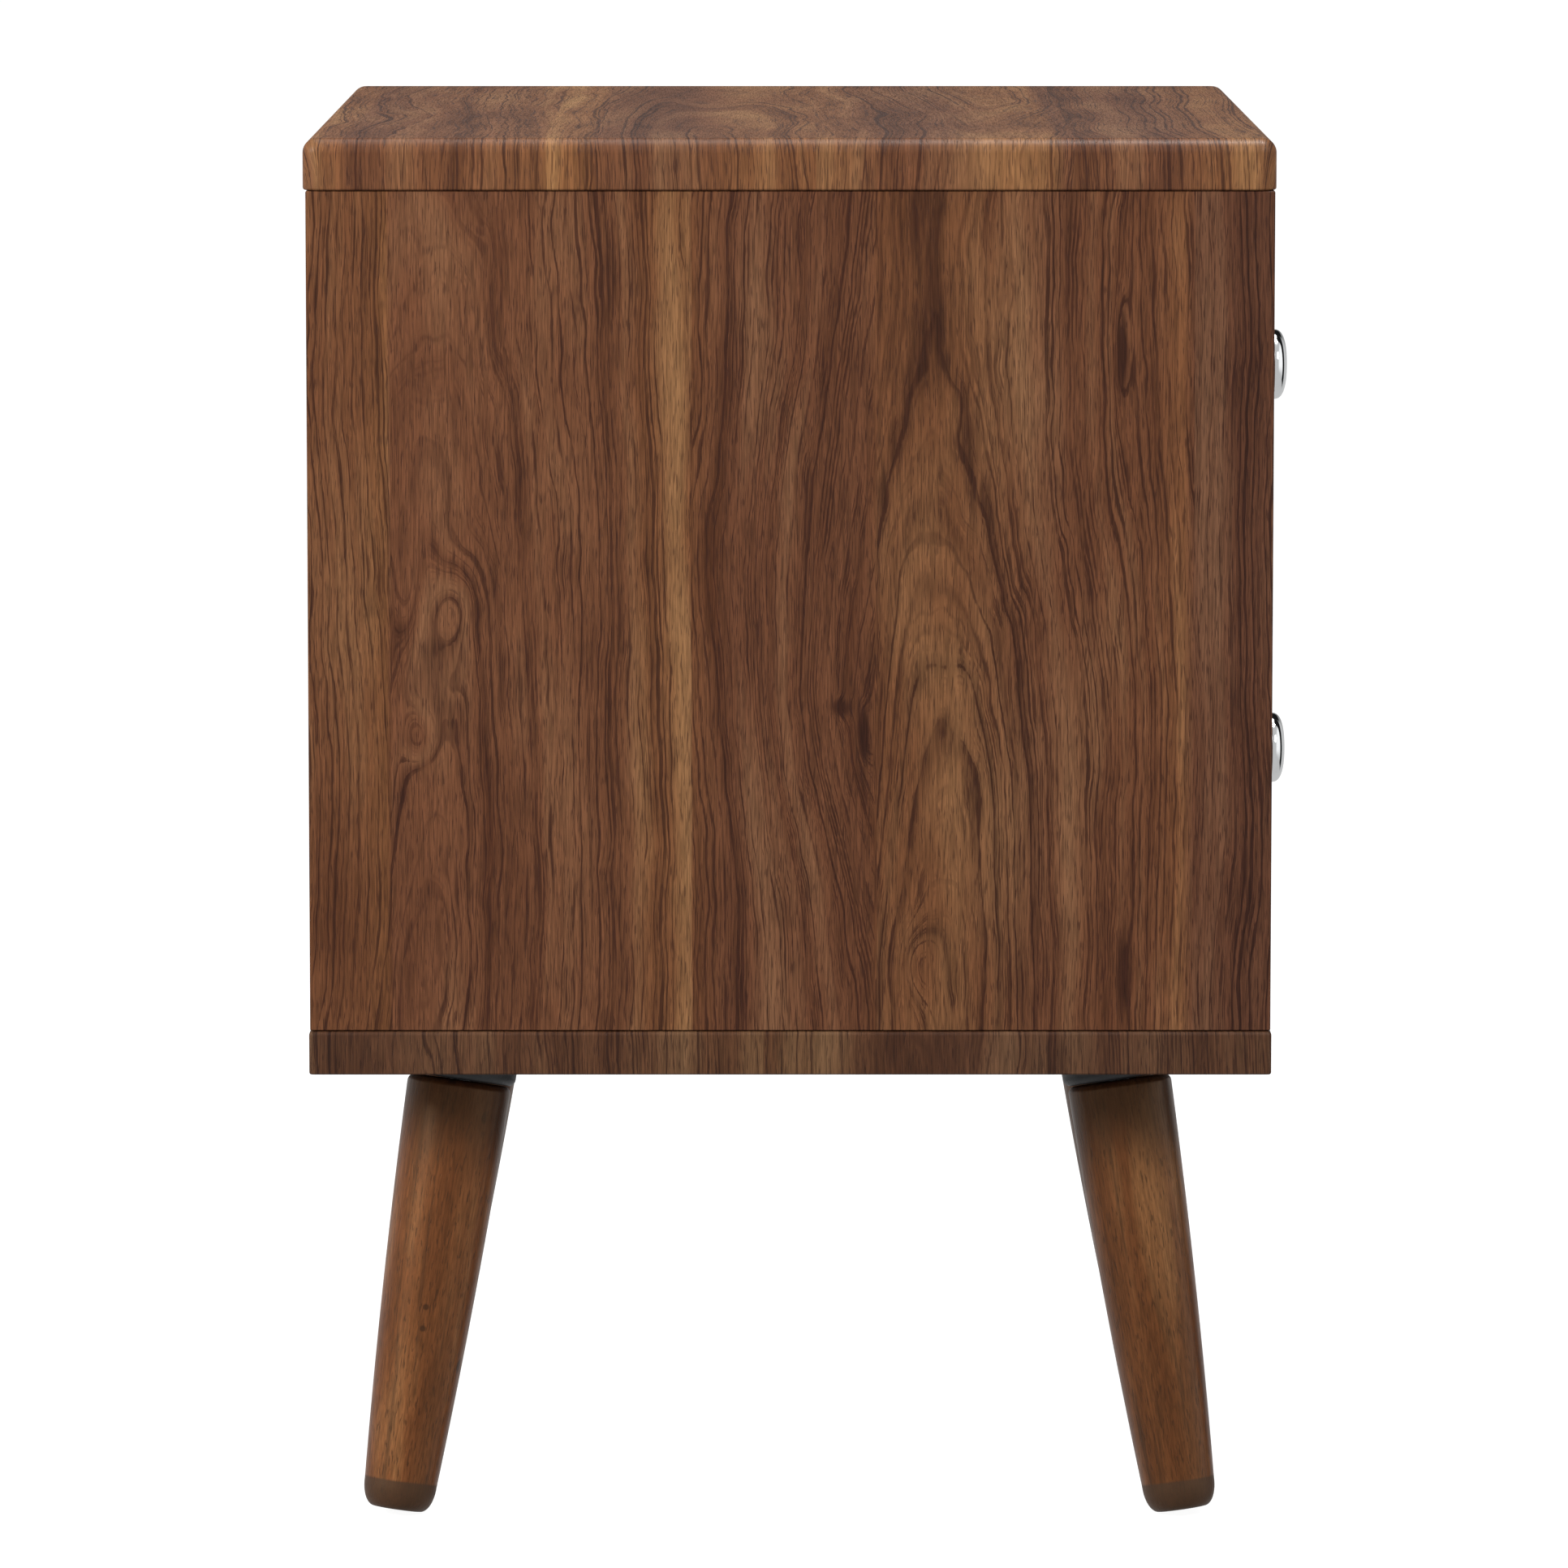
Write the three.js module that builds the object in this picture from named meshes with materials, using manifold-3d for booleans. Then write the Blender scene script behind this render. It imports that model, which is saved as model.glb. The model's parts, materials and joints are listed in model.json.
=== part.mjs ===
// A two-drawer nightstand: a walnut-faced case on four splayed, turned wooden legs, with two inset drawers
// on ball-bearing slides and one polished knob on each drawer.
// Millimetres, +Z up. The front is at -Y and left is -X. The origin is on the floor, below the middle of the
// whole object, knobs included.
import * as THREE from "three";
import { mergeVertices } from "three/addons/utils/BufferGeometryUtils.js";
import Module from "manifold-3d";

const wasm = await Module();
wasm.setup();

// ---------------------------------------------------------------- driving dimensions

const GAP = 0.3; // between pieces that touch
const WIDTH = 470; // of the top panel, along X
const UNDERSIDE_Z = 189; // floor to the underside of the case

const TOP = { depth: 395, thickness: 21, edgeRadius: 6, cornerRadius: 7 };
const SIDE = { height: 344, thickness: 15, sideInset: 1, frontInset: 0.7, backInset: 1.3 };
const BOTTOM = { thickness: 18, sideInset: 0.5, frontInset: 0.2, backInset: 0.8 };
const BACK_PANEL = { thickness: 3, setback: 10, grooveDepth: 6 };

const FACE = { height: 163, thickness: 15, sideGap: 2, spacing: 3, recess: 2 };
const BOX = { height: 120, depth: 352, wall: 12, aboveFace: 18 };
const BOX_BOTTOM = { thickness: 4, setup: 8, grooveDepth: 5 };

const KNOB = {
  length: 19,
  radius: 15,
  domeDepth: 5.6,
  roundness: 2.6, // of the dome: 2 is an ellipse, and more is squarer
  undercutDepth: 3.6,
  neckRadius: 6,
  neckStart: 4,
  baseRadius: 8,
  baseEdge: 1,
  rise: 1, // above the middle of the drawer face
};
const KNOB_SCREW = { radius: 1.85, headRadius: 4, headHeight: 2.5, reach: 8 };

const SLIDE = { width: 12.7, height: 35, length: 350, steel: 1.2, start: 2, belowCentre: 15 };
const SLIDE_OUTER = { reach: 9.5, lipHeight: 3 };
const SLIDE_INNER = { height: 22, reach: 6.2 };
const CAGE = { height: 28.2, reach: 6.8, length: 85, start: 132.5, offset: 2.2, steel: 1 };
const STOP = { length: 1.5, halfHeight: 8, lugLength: 2, lugHalfHeight: 4 };

const SPLAY = THREE.MathUtils.degToRad(8.4); // of each leg, seen from the front and from the side
const LEG = {
  inset: { x: 60, y: 60.5 }, // from the edges of the top panel to the middle of the leg's upper end
  drop: 11, // from the underside of the case to the middle of the leg's upper end
  topRadius: 21.6,
  bottomRadius: 15.1,
  evenTaper: 0.36, // the share of the taper that is even; the rest grows with the square of the distance
  topRound: 3,
  footHeight: 11,
  footRadius: 10,
};
const MOUNT = { radius: 23, edgeRound: 3, flangeRadius: 35, flangeThickness: 2.5 };
const MOUNT_SCREW = { radius: 1.9, length: 16, headRadius: 3.6, headHeight: 2.2 };
const MOUNT_SCREW_CIRCLE = { count: 3, radius: 29.5 };
const HANGER_BOLT = { radius: 4, inLeg: 30, inMount: 9.5 };
const SCREW_HEAD = { crown: 0.65, shoulder: 0.45 }; // shares of a head's radius and of its height

const PAST = 10; // how far a cutting tool reaches beyond the piece it cuts
const SIDES = { leg: 24, mount: 28, knob: 24, rod: 16, screw: 12, screwHole: 8 }; // of the round pieces
const STEPS = { corner: 3, topEdge: 4, smallRound: 3, foot: 5, taper: 6, undercut: 5, dome: 7 }; // of curves

// ---------------------------------------------------------------- places worked out from them

const knobOverhang = KNOB.length + GAP - FACE.recess - SIDE.frontInset;
const topFrontY = knobOverhang - (TOP.depth + knobOverhang) / 2;
const topBackY = topFrontY + TOP.depth;
const topMiddleY = (topFrontY + topBackY) / 2;

const bottomTopZ = UNDERSIDE_Z + BOTTOM.thickness;
const topUndersideZ = bottomTopZ + SIDE.height;

const sideOuterX = WIDTH / 2 - SIDE.sideInset;
const sideInnerX = sideOuterX - SIDE.thickness;
const sideFrontY = topFrontY + SIDE.frontInset;
const sideBackY = topBackY - SIDE.backInset;

const faceFrontY = sideFrontY + FACE.recess;
const faceBackY = faceFrontY + FACE.thickness;
const facePitch = FACE.height + FACE.spacing;
const caseMiddleZ = bottomTopZ + SIDE.height / 2;

const boxHalfWidth = sideInnerX - SLIDE.width;
const boxFrontY = GAP;
const boxLowZ = BOX.aboveFace - FACE.height / 2;

const legTilt = Math.atan(Math.SQRT2 * Math.tan(SPLAY));
const legTopZ = UNDERSIDE_Z - LEG.drop;

// ---------------------------------------------------------------- materials

function material(colour, roughness, metalness) {
  return new THREE.MeshStandardMaterial({ color: colour, roughness, metalness });
}

const MATERIALS = {
  walnut: material(0x5d4030, 0.45, 0),
  walnutTop: material(0x6b4c38, 0.4, 0),
  legWood: material(0x693f26, 0.4, 0),
  boxWood: material(0xc9ad84, 0.6, 0),
  boxBottom: material(0xbfa27a, 0.7, 0),
  hardboard: material(0x6e5640, 0.8, 0),
  chrome: material(0xe4e6e8, 0.08, 1),
  zincSteel: material(0xb4b8bc, 0.35, 1),
  blackSteel: material(0x26282a, 0.5, 0.6),
};

// ---------------------------------------------------------------- solids

/** A closed geometry as a manifold solid, with its shared vertices merged and its flat triangles dropped. */
function solidOf(geometry) {
  geometry.deleteAttribute("normal");
  geometry.deleteAttribute("uv");
  const merged = mergeVertices(geometry);
  const triVerts = [];
  for (let i = 0; i < merged.index.count; i += 3) {
    const [a, b, c] = [0, 1, 2].map((k) => merged.index.getX(i + k));
    if (a !== b && b !== c && c !== a) triVerts.push(a, b, c);
  }
  const vertProperties = merged.attributes.position.array;
  const mesh = { numProp: 3, vertProperties, triVerts: new Uint32Array(triVerts) };
  return new wasm.Manifold(new wasm.Mesh(mesh));
}

function geometryOf(solid) {
  const mesh = solid.getMesh();
  const geometry = new THREE.BufferGeometry();
  geometry.setAttribute("position", new THREE.BufferAttribute(mesh.vertProperties, 3));
  geometry.setIndex(new THREE.BufferAttribute(mesh.triVerts, 1));
  return geometry;
}

/** The geometry with each of the tools cut away from it. */
function cut(geometry, tools) {
  return geometryOf(tools.reduce((rest, tool) => rest.subtract(solidOf(tool)), solidOf(geometry)));
}

function join(geometries) {
  return geometryOf(geometries.map(solidOf).reduce((whole, piece) => whole.add(piece)));
}

/** A box from one corner to the opposite one. */
function block(low, high) {
  const size = high.map((value, axis) => value - low[axis]);
  const middle = high.map((value, axis) => (value + low[axis]) / 2);
  return new THREE.BoxGeometry(...size).translate(...middle);
}

/** A round rod along +Z, from lowZ to highZ. */
function rod(radius, lowZ, highZ, sides = SIDES.rod) {
  const geometry = new THREE.CylinderGeometry(radius, radius, highZ - lowZ, sides);
  return geometry.rotateX(Math.PI / 2).translate(0, 0, (lowZ + highZ) / 2);
}

/** An outline of [x, z] points, drawn out along Y from startY. */
function alongY(outline, startY, length) {
  const shape = new THREE.Shape(outline.map(([x, z]) => new THREE.Vector2(x, z)));
  const geometry = new THREE.ExtrudeGeometry(shape, { depth: length, bevelEnabled: false });
  return geometry.rotateX(Math.PI / 2).translate(0, startY + length, 0);
}

/** An outline of [y, z] points, drawn out along X and centred on it. */
function alongX(outline, length) {
  const shape = new THREE.Shape(outline.map(([y, z]) => new THREE.Vector2(y, z)));
  const geometry = new THREE.ExtrudeGeometry(shape, { depth: length, bevelEnabled: false });
  const turn = new THREE.Matrix4().makeBasis(
    new THREE.Vector3(0, 1, 0),
    new THREE.Vector3(0, 0, 1),
    new THREE.Vector3(1, 0, 0),
  );
  return geometry.applyMatrix4(turn).translate(-length / 2, 0, 0);
}

/** An outline of [x, y] points, drawn up from lowZ to highZ. */
function alongZ(outline, lowZ, highZ) {
  const shape = new THREE.Shape(outline.map(([x, y]) => new THREE.Vector2(x, y)));
  const geometry = new THREE.ExtrudeGeometry(shape, { depth: highZ - lowZ, bevelEnabled: false });
  return geometry.translate(0, 0, lowZ);
}

/** A turned piece on the Z axis, from [radius, z] points that start and end on the axis, lowest first. */
function turned(profile, sides) {
  const points = profile.map(([radius, z]) => new THREE.Vector2(radius, z));
  return new THREE.LatheGeometry(points, sides).rotateX(Math.PI / 2);
}

/** Points on an ellipse around its centre, from angle start to angle start + sweep. */
function arc([centreR, centreZ], radiusR, radiusZ, start, sweep, steps) {
  return Array.from({ length: steps + 1 }, (_, i) => {
    const angle = start + (sweep * i) / steps;
    return [centreR + radiusR * Math.cos(angle), centreZ + radiusZ * Math.sin(angle)];
  });
}

/** A screw that points up: a low round head under seatZ, and a shank that ends at tipZ in a point. */
function screw({ radius, headRadius, headHeight }, seatZ, tipZ, pointLength) {
  const profile = [
    [0, seatZ - headHeight],
    [SCREW_HEAD.crown * headRadius, seatZ - headHeight],
    [headRadius, seatZ - SCREW_HEAD.shoulder * headHeight],
    [headRadius, seatZ],
    [radius, seatZ],
    [radius, tipZ - pointLength],
    [0, tipZ],
  ];
  return turned(profile, SIDES.screw);
}

function add(parent, name, geometry, look) {
  const mesh = new THREE.Mesh(geometry, look);
  mesh.name = name;
  parent.add(mesh);
  return mesh;
}

const nightstand = new THREE.Group();

// ---------------------------------------------------------------- case panels

/** The top panel: rounded corners and a rounded upper edge, flat below. */
function topPanel() {
  const { edgeRadius, cornerRadius, thickness } = TOP;
  const halfX = WIDTH / 2 - edgeRadius;
  const halfY = TOP.depth / 2 - edgeRadius;
  const cornerR = cornerRadius - edgeRadius;
  const outline = new THREE.Shape();
  outline.absarc(halfX - cornerR, halfY - cornerR, cornerR, 0, Math.PI / 2);
  outline.absarc(cornerR - halfX, halfY - cornerR, cornerR, Math.PI / 2, Math.PI);
  outline.absarc(cornerR - halfX, cornerR - halfY, cornerR, Math.PI, 1.5 * Math.PI);
  outline.absarc(halfX - cornerR, cornerR - halfY, cornerR, 1.5 * Math.PI, 2 * Math.PI);
  const slab = new THREE.ExtrudeGeometry(outline, {
    depth: thickness - edgeRadius,
    curveSegments: STEPS.corner,
    bevelThickness: edgeRadius,
    bevelSize: edgeRadius,
    bevelSegments: STEPS.topEdge,
  });
  const below = block([-WIDTH, -TOP.depth, -thickness], [WIDTH, TOP.depth, 0]);
  return cut(slab, [below]);
}

const top = add(nightstand, "top_panel", topPanel(), MATERIALS.walnutTop);
top.position.set(0, topMiddleY, topUndersideZ);

/** A side panel, with a groove for the back panel. side is -1 on the left and 1 on the right. */
function sidePanel(side) {
  const outer = side * sideOuterX;
  const inner = side * sideInnerX;
  const grooveFloor = side * (sideInnerX + BACK_PANEL.grooveDepth);
  const grooveBackY = sideBackY - BACK_PANEL.setback + GAP;
  const grooveFrontY = grooveBackY - BACK_PANEL.thickness - 2 * GAP;
  const outline = [
    [outer, sideFrontY],
    [inner, sideFrontY],
    [inner, grooveFrontY],
    [grooveFloor, grooveFrontY],
    [grooveFloor, grooveBackY],
    [inner, grooveBackY],
    [inner, sideBackY],
    [outer, sideBackY],
  ];
  return alongZ(outline, bottomTopZ + GAP, topUndersideZ - GAP);
}

add(nightstand, "left_side_panel", sidePanel(-1), MATERIALS.walnut);
add(nightstand, "right_side_panel", sidePanel(1), MATERIALS.walnut);

const backPanelY = sideBackY - BACK_PANEL.setback;
const backPanelHalfX = sideInnerX + BACK_PANEL.grooveDepth - GAP;
const backPanel = block(
  [-backPanelHalfX, backPanelY - BACK_PANEL.thickness, bottomTopZ + GAP],
  [backPanelHalfX, backPanelY, topUndersideZ - GAP],
);
add(nightstand, "back_panel", backPanel, MATERIALS.hardboard);

// ---------------------------------------------------------------- legs and their mounts

/** The places of the four legs: name, sideways sign and front-to-back sign. */
const CORNERS = [
  ["front_left", -1, -1],
  ["front_right", 1, -1],
  ["rear_left", -1, 1],
  ["rear_right", 1, 1],
];

/** A corner's frame, on the leg's upper end, with +X towards the corner that the leg splays to. */
function cornerFrame(sideX, sideY) {
  const frame = new THREE.Group();
  const x = sideX * (WIDTH / 2 - LEG.inset.x);
  const y = topMiddleY + sideY * (TOP.depth / 2 - LEG.inset.y);
  frame.position.set(x, y, legTopZ);
  frame.rotation.z = Math.atan2(sideY, sideX);
  return frame;
}

/** The mount screws' places in a corner's frame. */
const mountScrewPlaces = Array.from({ length: MOUNT_SCREW_CIRCLE.count }, (_, i) => {
  const angle = (i * 2 * Math.PI) / MOUNT_SCREW_CIRCLE.count;
  return [MOUNT_SCREW_CIRCLE.radius * Math.cos(angle), MOUNT_SCREW_CIRCLE.radius * Math.sin(angle)];
});

/** The bottom panel, with a blind hole for each of the mount screws. */
function bottomPanel() {
  const halfX = WIDTH / 2 - BOTTOM.sideInset;
  const frontY = topFrontY + BOTTOM.frontInset;
  const backY = topBackY - BOTTOM.backInset;
  const panel = block([-halfX, frontY, UNDERSIDE_Z], [halfX, backY, bottomTopZ]);
  const holeDepth = MOUNT_SCREW.length - MOUNT.flangeThickness + 2 * GAP;
  const holes = CORNERS.flatMap(([, sideX, sideY]) => {
    const frame = cornerFrame(sideX, sideY);
    frame.updateMatrix();
    return mountScrewPlaces.map(([x, y]) => {
      const hole = rod(MOUNT_SCREW.radius + GAP, LEG.drop - PAST, LEG.drop + holeDepth, SIDES.screwHole);
      return hole.translate(x, y, 0).applyMatrix4(frame.matrix);
    });
  });
  return cut(panel, holes);
}

add(nightstand, "bottom_panel", bottomPanel(), MATERIALS.walnut);

/** The rounding of a leg's foot, from its flat end up to its full radius, around the round's own centre. */
function footRound() {
  const { bottomRadius, footRadius, footHeight } = LEG;
  return arc([footRadius, 0], bottomRadius - footRadius, footHeight, -Math.PI / 2, Math.PI / 2, STEPS.foot);
}

/** The length of the leg that lets the lowest point of its leaning foot touch the floor. */
function legLength() {
  const drops = footRound().map(([radius, z]) => radius * Math.sin(legTilt) - z * Math.cos(legTilt));
  return (legTopZ - Math.max(...drops)) / Math.cos(legTilt) + LEG.footHeight;
}

/** The leg: a convex taper, rounded a little at its upper end and more at its foot, bored for its bolt. */
function leg(length) {
  const { topRadius, bottomRadius, evenTaper, topRound, footHeight } = LEG;
  const foot = footRound().map(([radius, z]) => [radius, z + footHeight - length]);
  const taper = Array.from({ length: STEPS.taper - 1 }, (_, i) => {
    const share = 1 - (i + 1) / STEPS.taper; // 1 at the foot and 0 at the upper end
    const narrowing = evenTaper * share + (1 - evenTaper) * share * share;
    const radius = topRadius - (topRadius - bottomRadius) * narrowing;
    return [radius, -share * (length - footHeight - topRound) - topRound];
  });
  const shoulderCentre = [topRadius - topRound, -topRound];
  const shoulder = arc(shoulderCentre, topRound, topRound, 0, Math.PI / 2, STEPS.smallRound);
  const holeRadius = HANGER_BOLT.radius + GAP;
  const holeDepth = HANGER_BOLT.inLeg + GAP;
  const hole = [
    [holeRadius, 0],
    [holeRadius, -holeDepth],
    [0, -holeDepth],
  ];
  return turned([[0, -length], ...foot, ...taper, ...shoulder, ...hole], SIDES.leg);
}

/** A mount: a round flange and a leaning boss whose end is square to the leg, bored for the leg's bolt. */
function legMount() {
  const { radius, edgeRound, flangeRadius, flangeThickness } = MOUNT;
  const topZ = LEG.drop - GAP;
  const bossTop = topZ + radius; // past the flange all round, and cut off level below
  const edgeCentre = [radius - edgeRound, GAP + edgeRound];
  const bossEdge = arc(edgeCentre, edgeRound, edgeRound, -Math.PI / 2, Math.PI / 2, STEPS.smallRound);
  const bossProfile = [[0, GAP], ...bossEdge, [radius, bossTop], [0, bossTop]];
  const boss = turned(bossProfile, SIDES.mount).rotateY(-legTilt);
  const flange = rod(flangeRadius, topZ - flangeThickness, topZ, SIDES.mount);
  const reach = 2 * flangeRadius;
  const above = block([-reach, -reach, topZ], [reach, reach, topZ + reach]);
  const bore = rod(HANGER_BOLT.radius + GAP, -PAST, bossTop + PAST).rotateY(-legTilt);
  const screwHoles = mountScrewPlaces.map(([x, y]) => {
    const hole = rod(MOUNT_SCREW.radius + GAP, topZ - 2 * flangeThickness, topZ + PAST, SIDES.screwHole);
    return hole.translate(x, y, 0);
  });
  return cut(join([boss, flange]), [above, bore, ...screwHoles]);
}

function hangerBolt() {
  return rod(HANGER_BOLT.radius, -HANGER_BOLT.inLeg, HANGER_BOLT.inMount).rotateY(-legTilt);
}

/** A mount screw, up through the flange into the bottom panel. */
function mountScrew() {
  const seatZ = LEG.drop - 2 * GAP - MOUNT.flangeThickness;
  return screw(MOUNT_SCREW, seatZ, seatZ + MOUNT_SCREW.length, 2 * MOUNT_SCREW.radius);
}

const lengthOfLeg = legLength();
for (const [place, sideX, sideY] of CORNERS) {
  const frame = cornerFrame(sideX, sideY);
  nightstand.add(frame);
  const woodenLeg = add(frame, `${place}_leg`, leg(lengthOfLeg), MATERIALS.legWood);
  woodenLeg.rotation.y = -legTilt;
  add(frame, `${place}_leg_mount`, legMount(), MATERIALS.blackSteel);
  add(frame, `${place}_hanger_bolt`, hangerBolt(), MATERIALS.zincSteel);
  mountScrewPlaces.forEach(([x, y], i) => {
    const placed = add(frame, `${place}_mount_screw_${i + 1}`, mountScrew(), MATERIALS.zincSteel);
    placed.position.set(x, y, 0);
  });
}

// ---------------------------------------------------------------- drawers

/** The drawer's slot for its bottom: the outline points of a wall's inner edge, from low to high. */
function groovedEdge(inner, grooveFloor) {
  const grooveLow = boxLowZ + BOX_BOTTOM.setup;
  const grooveHigh = grooveLow + BOX_BOTTOM.thickness + 2 * GAP;
  return [
    [inner, boxLowZ],
    [inner, grooveLow],
    [grooveFloor, grooveLow],
    [grooveFloor, grooveHigh],
    [inner, grooveHigh],
    [inner, boxLowZ + BOX.height],
  ];
}

function boxSide(side) {
  const outer = side * (boxHalfWidth - GAP);
  const inner = side * (boxHalfWidth - GAP - BOX.wall);
  const edge = groovedEdge(inner, inner + side * BOX_BOTTOM.grooveDepth);
  return alongY([[outer, boxLowZ], ...edge, [outer, boxLowZ + BOX.height]], boxFrontY, BOX.depth);
}

/** The drawer box's front or back wall, from its outer face's place and the direction of the inside. */
function boxEnd(outerY, inward) {
  const innerY = outerY + inward * BOX.wall;
  const edge = groovedEdge(innerY, innerY - inward * BOX_BOTTOM.grooveDepth);
  const length = 2 * (boxHalfWidth - BOX.wall - 2 * GAP);
  return alongX([[outerY, boxLowZ], ...edge, [outerY, boxLowZ + BOX.height]], length);
}

function boxBottom() {
  const reach = BOX_BOTTOM.grooveDepth - GAP;
  const halfX = boxHalfWidth - GAP - BOX.wall + reach;
  const lowZ = boxLowZ + BOX_BOTTOM.setup + GAP;
  return block(
    [-halfX, boxFrontY + BOX.wall - reach, lowZ],
    [halfX, boxFrontY + BOX.depth - BOX.wall + reach, lowZ + BOX_BOTTOM.thickness],
  );
}

/** A hole for the knob's screw, through the drawer face and the box behind it. */
function knobScrewHole() {
  const reach = 2 * FACE.thickness;
  return rod(KNOB_SCREW.radius + GAP, -reach, reach).rotateX(Math.PI / 2).translate(0, 0, KNOB.rise);
}

function drawerFace() {
  const halfX = sideInnerX - FACE.sideGap;
  const slab = block([-halfX, -FACE.thickness, -FACE.height / 2], [halfX, 0, FACE.height / 2]);
  return cut(slab, [knobScrewHole()]);
}

/** A mushroom knob, on +Z: a small foot, a waisted neck and a broad, shallow dome, bored for its screw. */
function knob() {
  const { length, radius, domeDepth, roundness } = KNOB;
  const { undercutDepth, neckRadius, neckStart, baseRadius, baseEdge } = KNOB;
  const boreRadius = KNOB_SCREW.radius + GAP;
  const boreDepth = KNOB_SCREW.reach + 1;
  const rimZ = length - domeDepth;
  const rimReach = radius - neckRadius;
  const quarter = Math.PI / 2;
  const undercut = arc([neckRadius, rimZ], rimReach, -undercutDepth, quarter, -quarter, STEPS.undercut);
  const dome = Array.from({ length: STEPS.dome }, (_, i) => {
    const angle = (quarter * (i + 1)) / STEPS.dome;
    const across = i + 1 === STEPS.dome ? 0 : radius * Math.cos(angle) ** (2 / roundness);
    return [across, rimZ + domeDepth * Math.sin(angle) ** (2 / roundness)];
  });
  const profile = [
    [0, boreDepth],
    [boreRadius, boreDepth],
    [boreRadius, 0],
    [baseRadius, 0],
    [baseRadius, baseEdge],
    [neckRadius, neckStart],
    ...undercut,
    ...dome,
  ];
  return turned(profile, SIDES.knob);
}

/** The knob's screw, on +Z: its head inside the drawer, its shank through the front and into the knob. */
function knobScrew() {
  return screw(KNOB_SCREW, 0, GAP + BOX.wall + GAP + FACE.thickness + GAP + KNOB_SCREW.reach, 0);
}

/** A slide's X place, from its distance from the side panel's inner face. */
function slideX(side, distance) {
  return side * (sideInnerX - distance);
}

/** The drawer's half of a slide: a channel on the drawer's side, closed at its back end. */
function drawerSlideMember(side) {
  const web = SLIDE.width;
  const half = SLIDE_INNER.height / 2;
  const { steel } = SLIDE;
  const outline = [
    [web, -half],
    [web - steel - SLIDE_INNER.reach, -half],
    [web - steel - SLIDE_INNER.reach, steel - half],
    [web - steel, steel - half],
    [web - steel, half - steel],
    [web - steel - SLIDE_INNER.reach, half - steel],
    [web - steel - SLIDE_INNER.reach, half],
    [web, half],
  ].map(([distance, z]) => [slideX(side, distance), z - SLIDE.belowCentre]);
  const channel = alongY(outline, SLIDE.start, SLIDE.length);
  const stopX = [slideX(side, CAGE.offset), slideX(side, web)].sort((a, b) => a - b);
  const stopY = SLIDE.start + SLIDE.length;
  const stop = block(
    [stopX[0], stopY - STOP.length, -SLIDE.belowCentre - STOP.halfHeight],
    [stopX[1], stopY, -SLIDE.belowCentre + STOP.halfHeight],
  );
  return join([channel, stop]);
}

/** The moving pieces of one drawer, in a frame on the middle of the drawer face's back. */
function drawer(place, centreZ) {
  const frame = new THREE.Group();
  frame.position.set(0, faceBackY, centreZ);
  nightstand.add(frame);
  add(frame, `${place}_drawer_face`, drawerFace(), MATERIALS.walnut);
  add(frame, `${place}_drawer_left_side`, boxSide(-1), MATERIALS.boxWood);
  add(frame, `${place}_drawer_right_side`, boxSide(1), MATERIALS.boxWood);
  add(frame, `${place}_drawer_box_front`, cut(boxEnd(boxFrontY, 1), [knobScrewHole()]), MATERIALS.boxWood);
  add(frame, `${place}_drawer_box_back`, boxEnd(boxFrontY + BOX.depth, -1), MATERIALS.boxWood);
  add(frame, `${place}_drawer_bottom`, boxBottom(), MATERIALS.boxBottom);
  add(frame, `${place}_left_slide_drawer_member`, drawerSlideMember(-1), MATERIALS.zincSteel);
  add(frame, `${place}_right_slide_drawer_member`, drawerSlideMember(1), MATERIALS.zincSteel);
  const turnedKnob = add(frame, `${place}_knob`, knob(), MATERIALS.chrome);
  turnedKnob.rotation.x = Math.PI / 2;
  turnedKnob.position.set(0, -FACE.thickness - GAP, KNOB.rise);
  const placedScrew = add(frame, `${place}_knob_screw`, knobScrew(), MATERIALS.zincSteel);
  placedScrew.rotation.x = Math.PI / 2;
  placedScrew.position.set(0, boxFrontY + BOX.wall + GAP, KNOB.rise);
}

// ---------------------------------------------------------------- fixed slide channels and ball cages

/** The case's half of a slide: a channel on the side panel, with a lug in front and a closed back end. */
function caseSlideMember(side, centreZ) {
  const half = SLIDE.height / 2;
  const { steel } = SLIDE;
  const { reach, lipHeight } = SLIDE_OUTER;
  const outline = [
    [GAP, -half],
    [reach, -half],
    [reach, lipHeight - half],
    [reach - steel, lipHeight - half],
    [reach - steel, steel - half],
    [GAP + steel, steel - half],
    [GAP + steel, half - steel],
    [reach - steel, half - steel],
    [reach - steel, half - lipHeight],
    [reach, half - lipHeight],
    [reach, half],
    [GAP, half],
  ].map(([distance, z]) => [slideX(side, distance), z + centreZ - SLIDE.belowCentre]);
  const startY = faceBackY + SLIDE.start;
  const endY = startY + SLIDE.length + GAP;
  const channel = alongY(outline, startY, endY + STOP.length - startY);
  const middleZ = centreZ - SLIDE.belowCentre;
  const backX = [slideX(side, GAP), slideX(side, reach)].sort((a, b) => a - b);
  const back = block(
    [backX[0], endY, middleZ - half + steel / 2],
    [backX[1], endY + STOP.length, middleZ + half - steel / 2],
  );
  const lugX = [slideX(side, GAP), slideX(side, CAGE.offset + CAGE.steel)].sort((a, b) => a - b);
  const lug = block(
    [lugX[0], startY, middleZ - STOP.lugHalfHeight],
    [lugX[1], startY + STOP.lugLength, middleZ + STOP.lugHalfHeight],
  );
  return join([channel, back, lug]);
}

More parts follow.
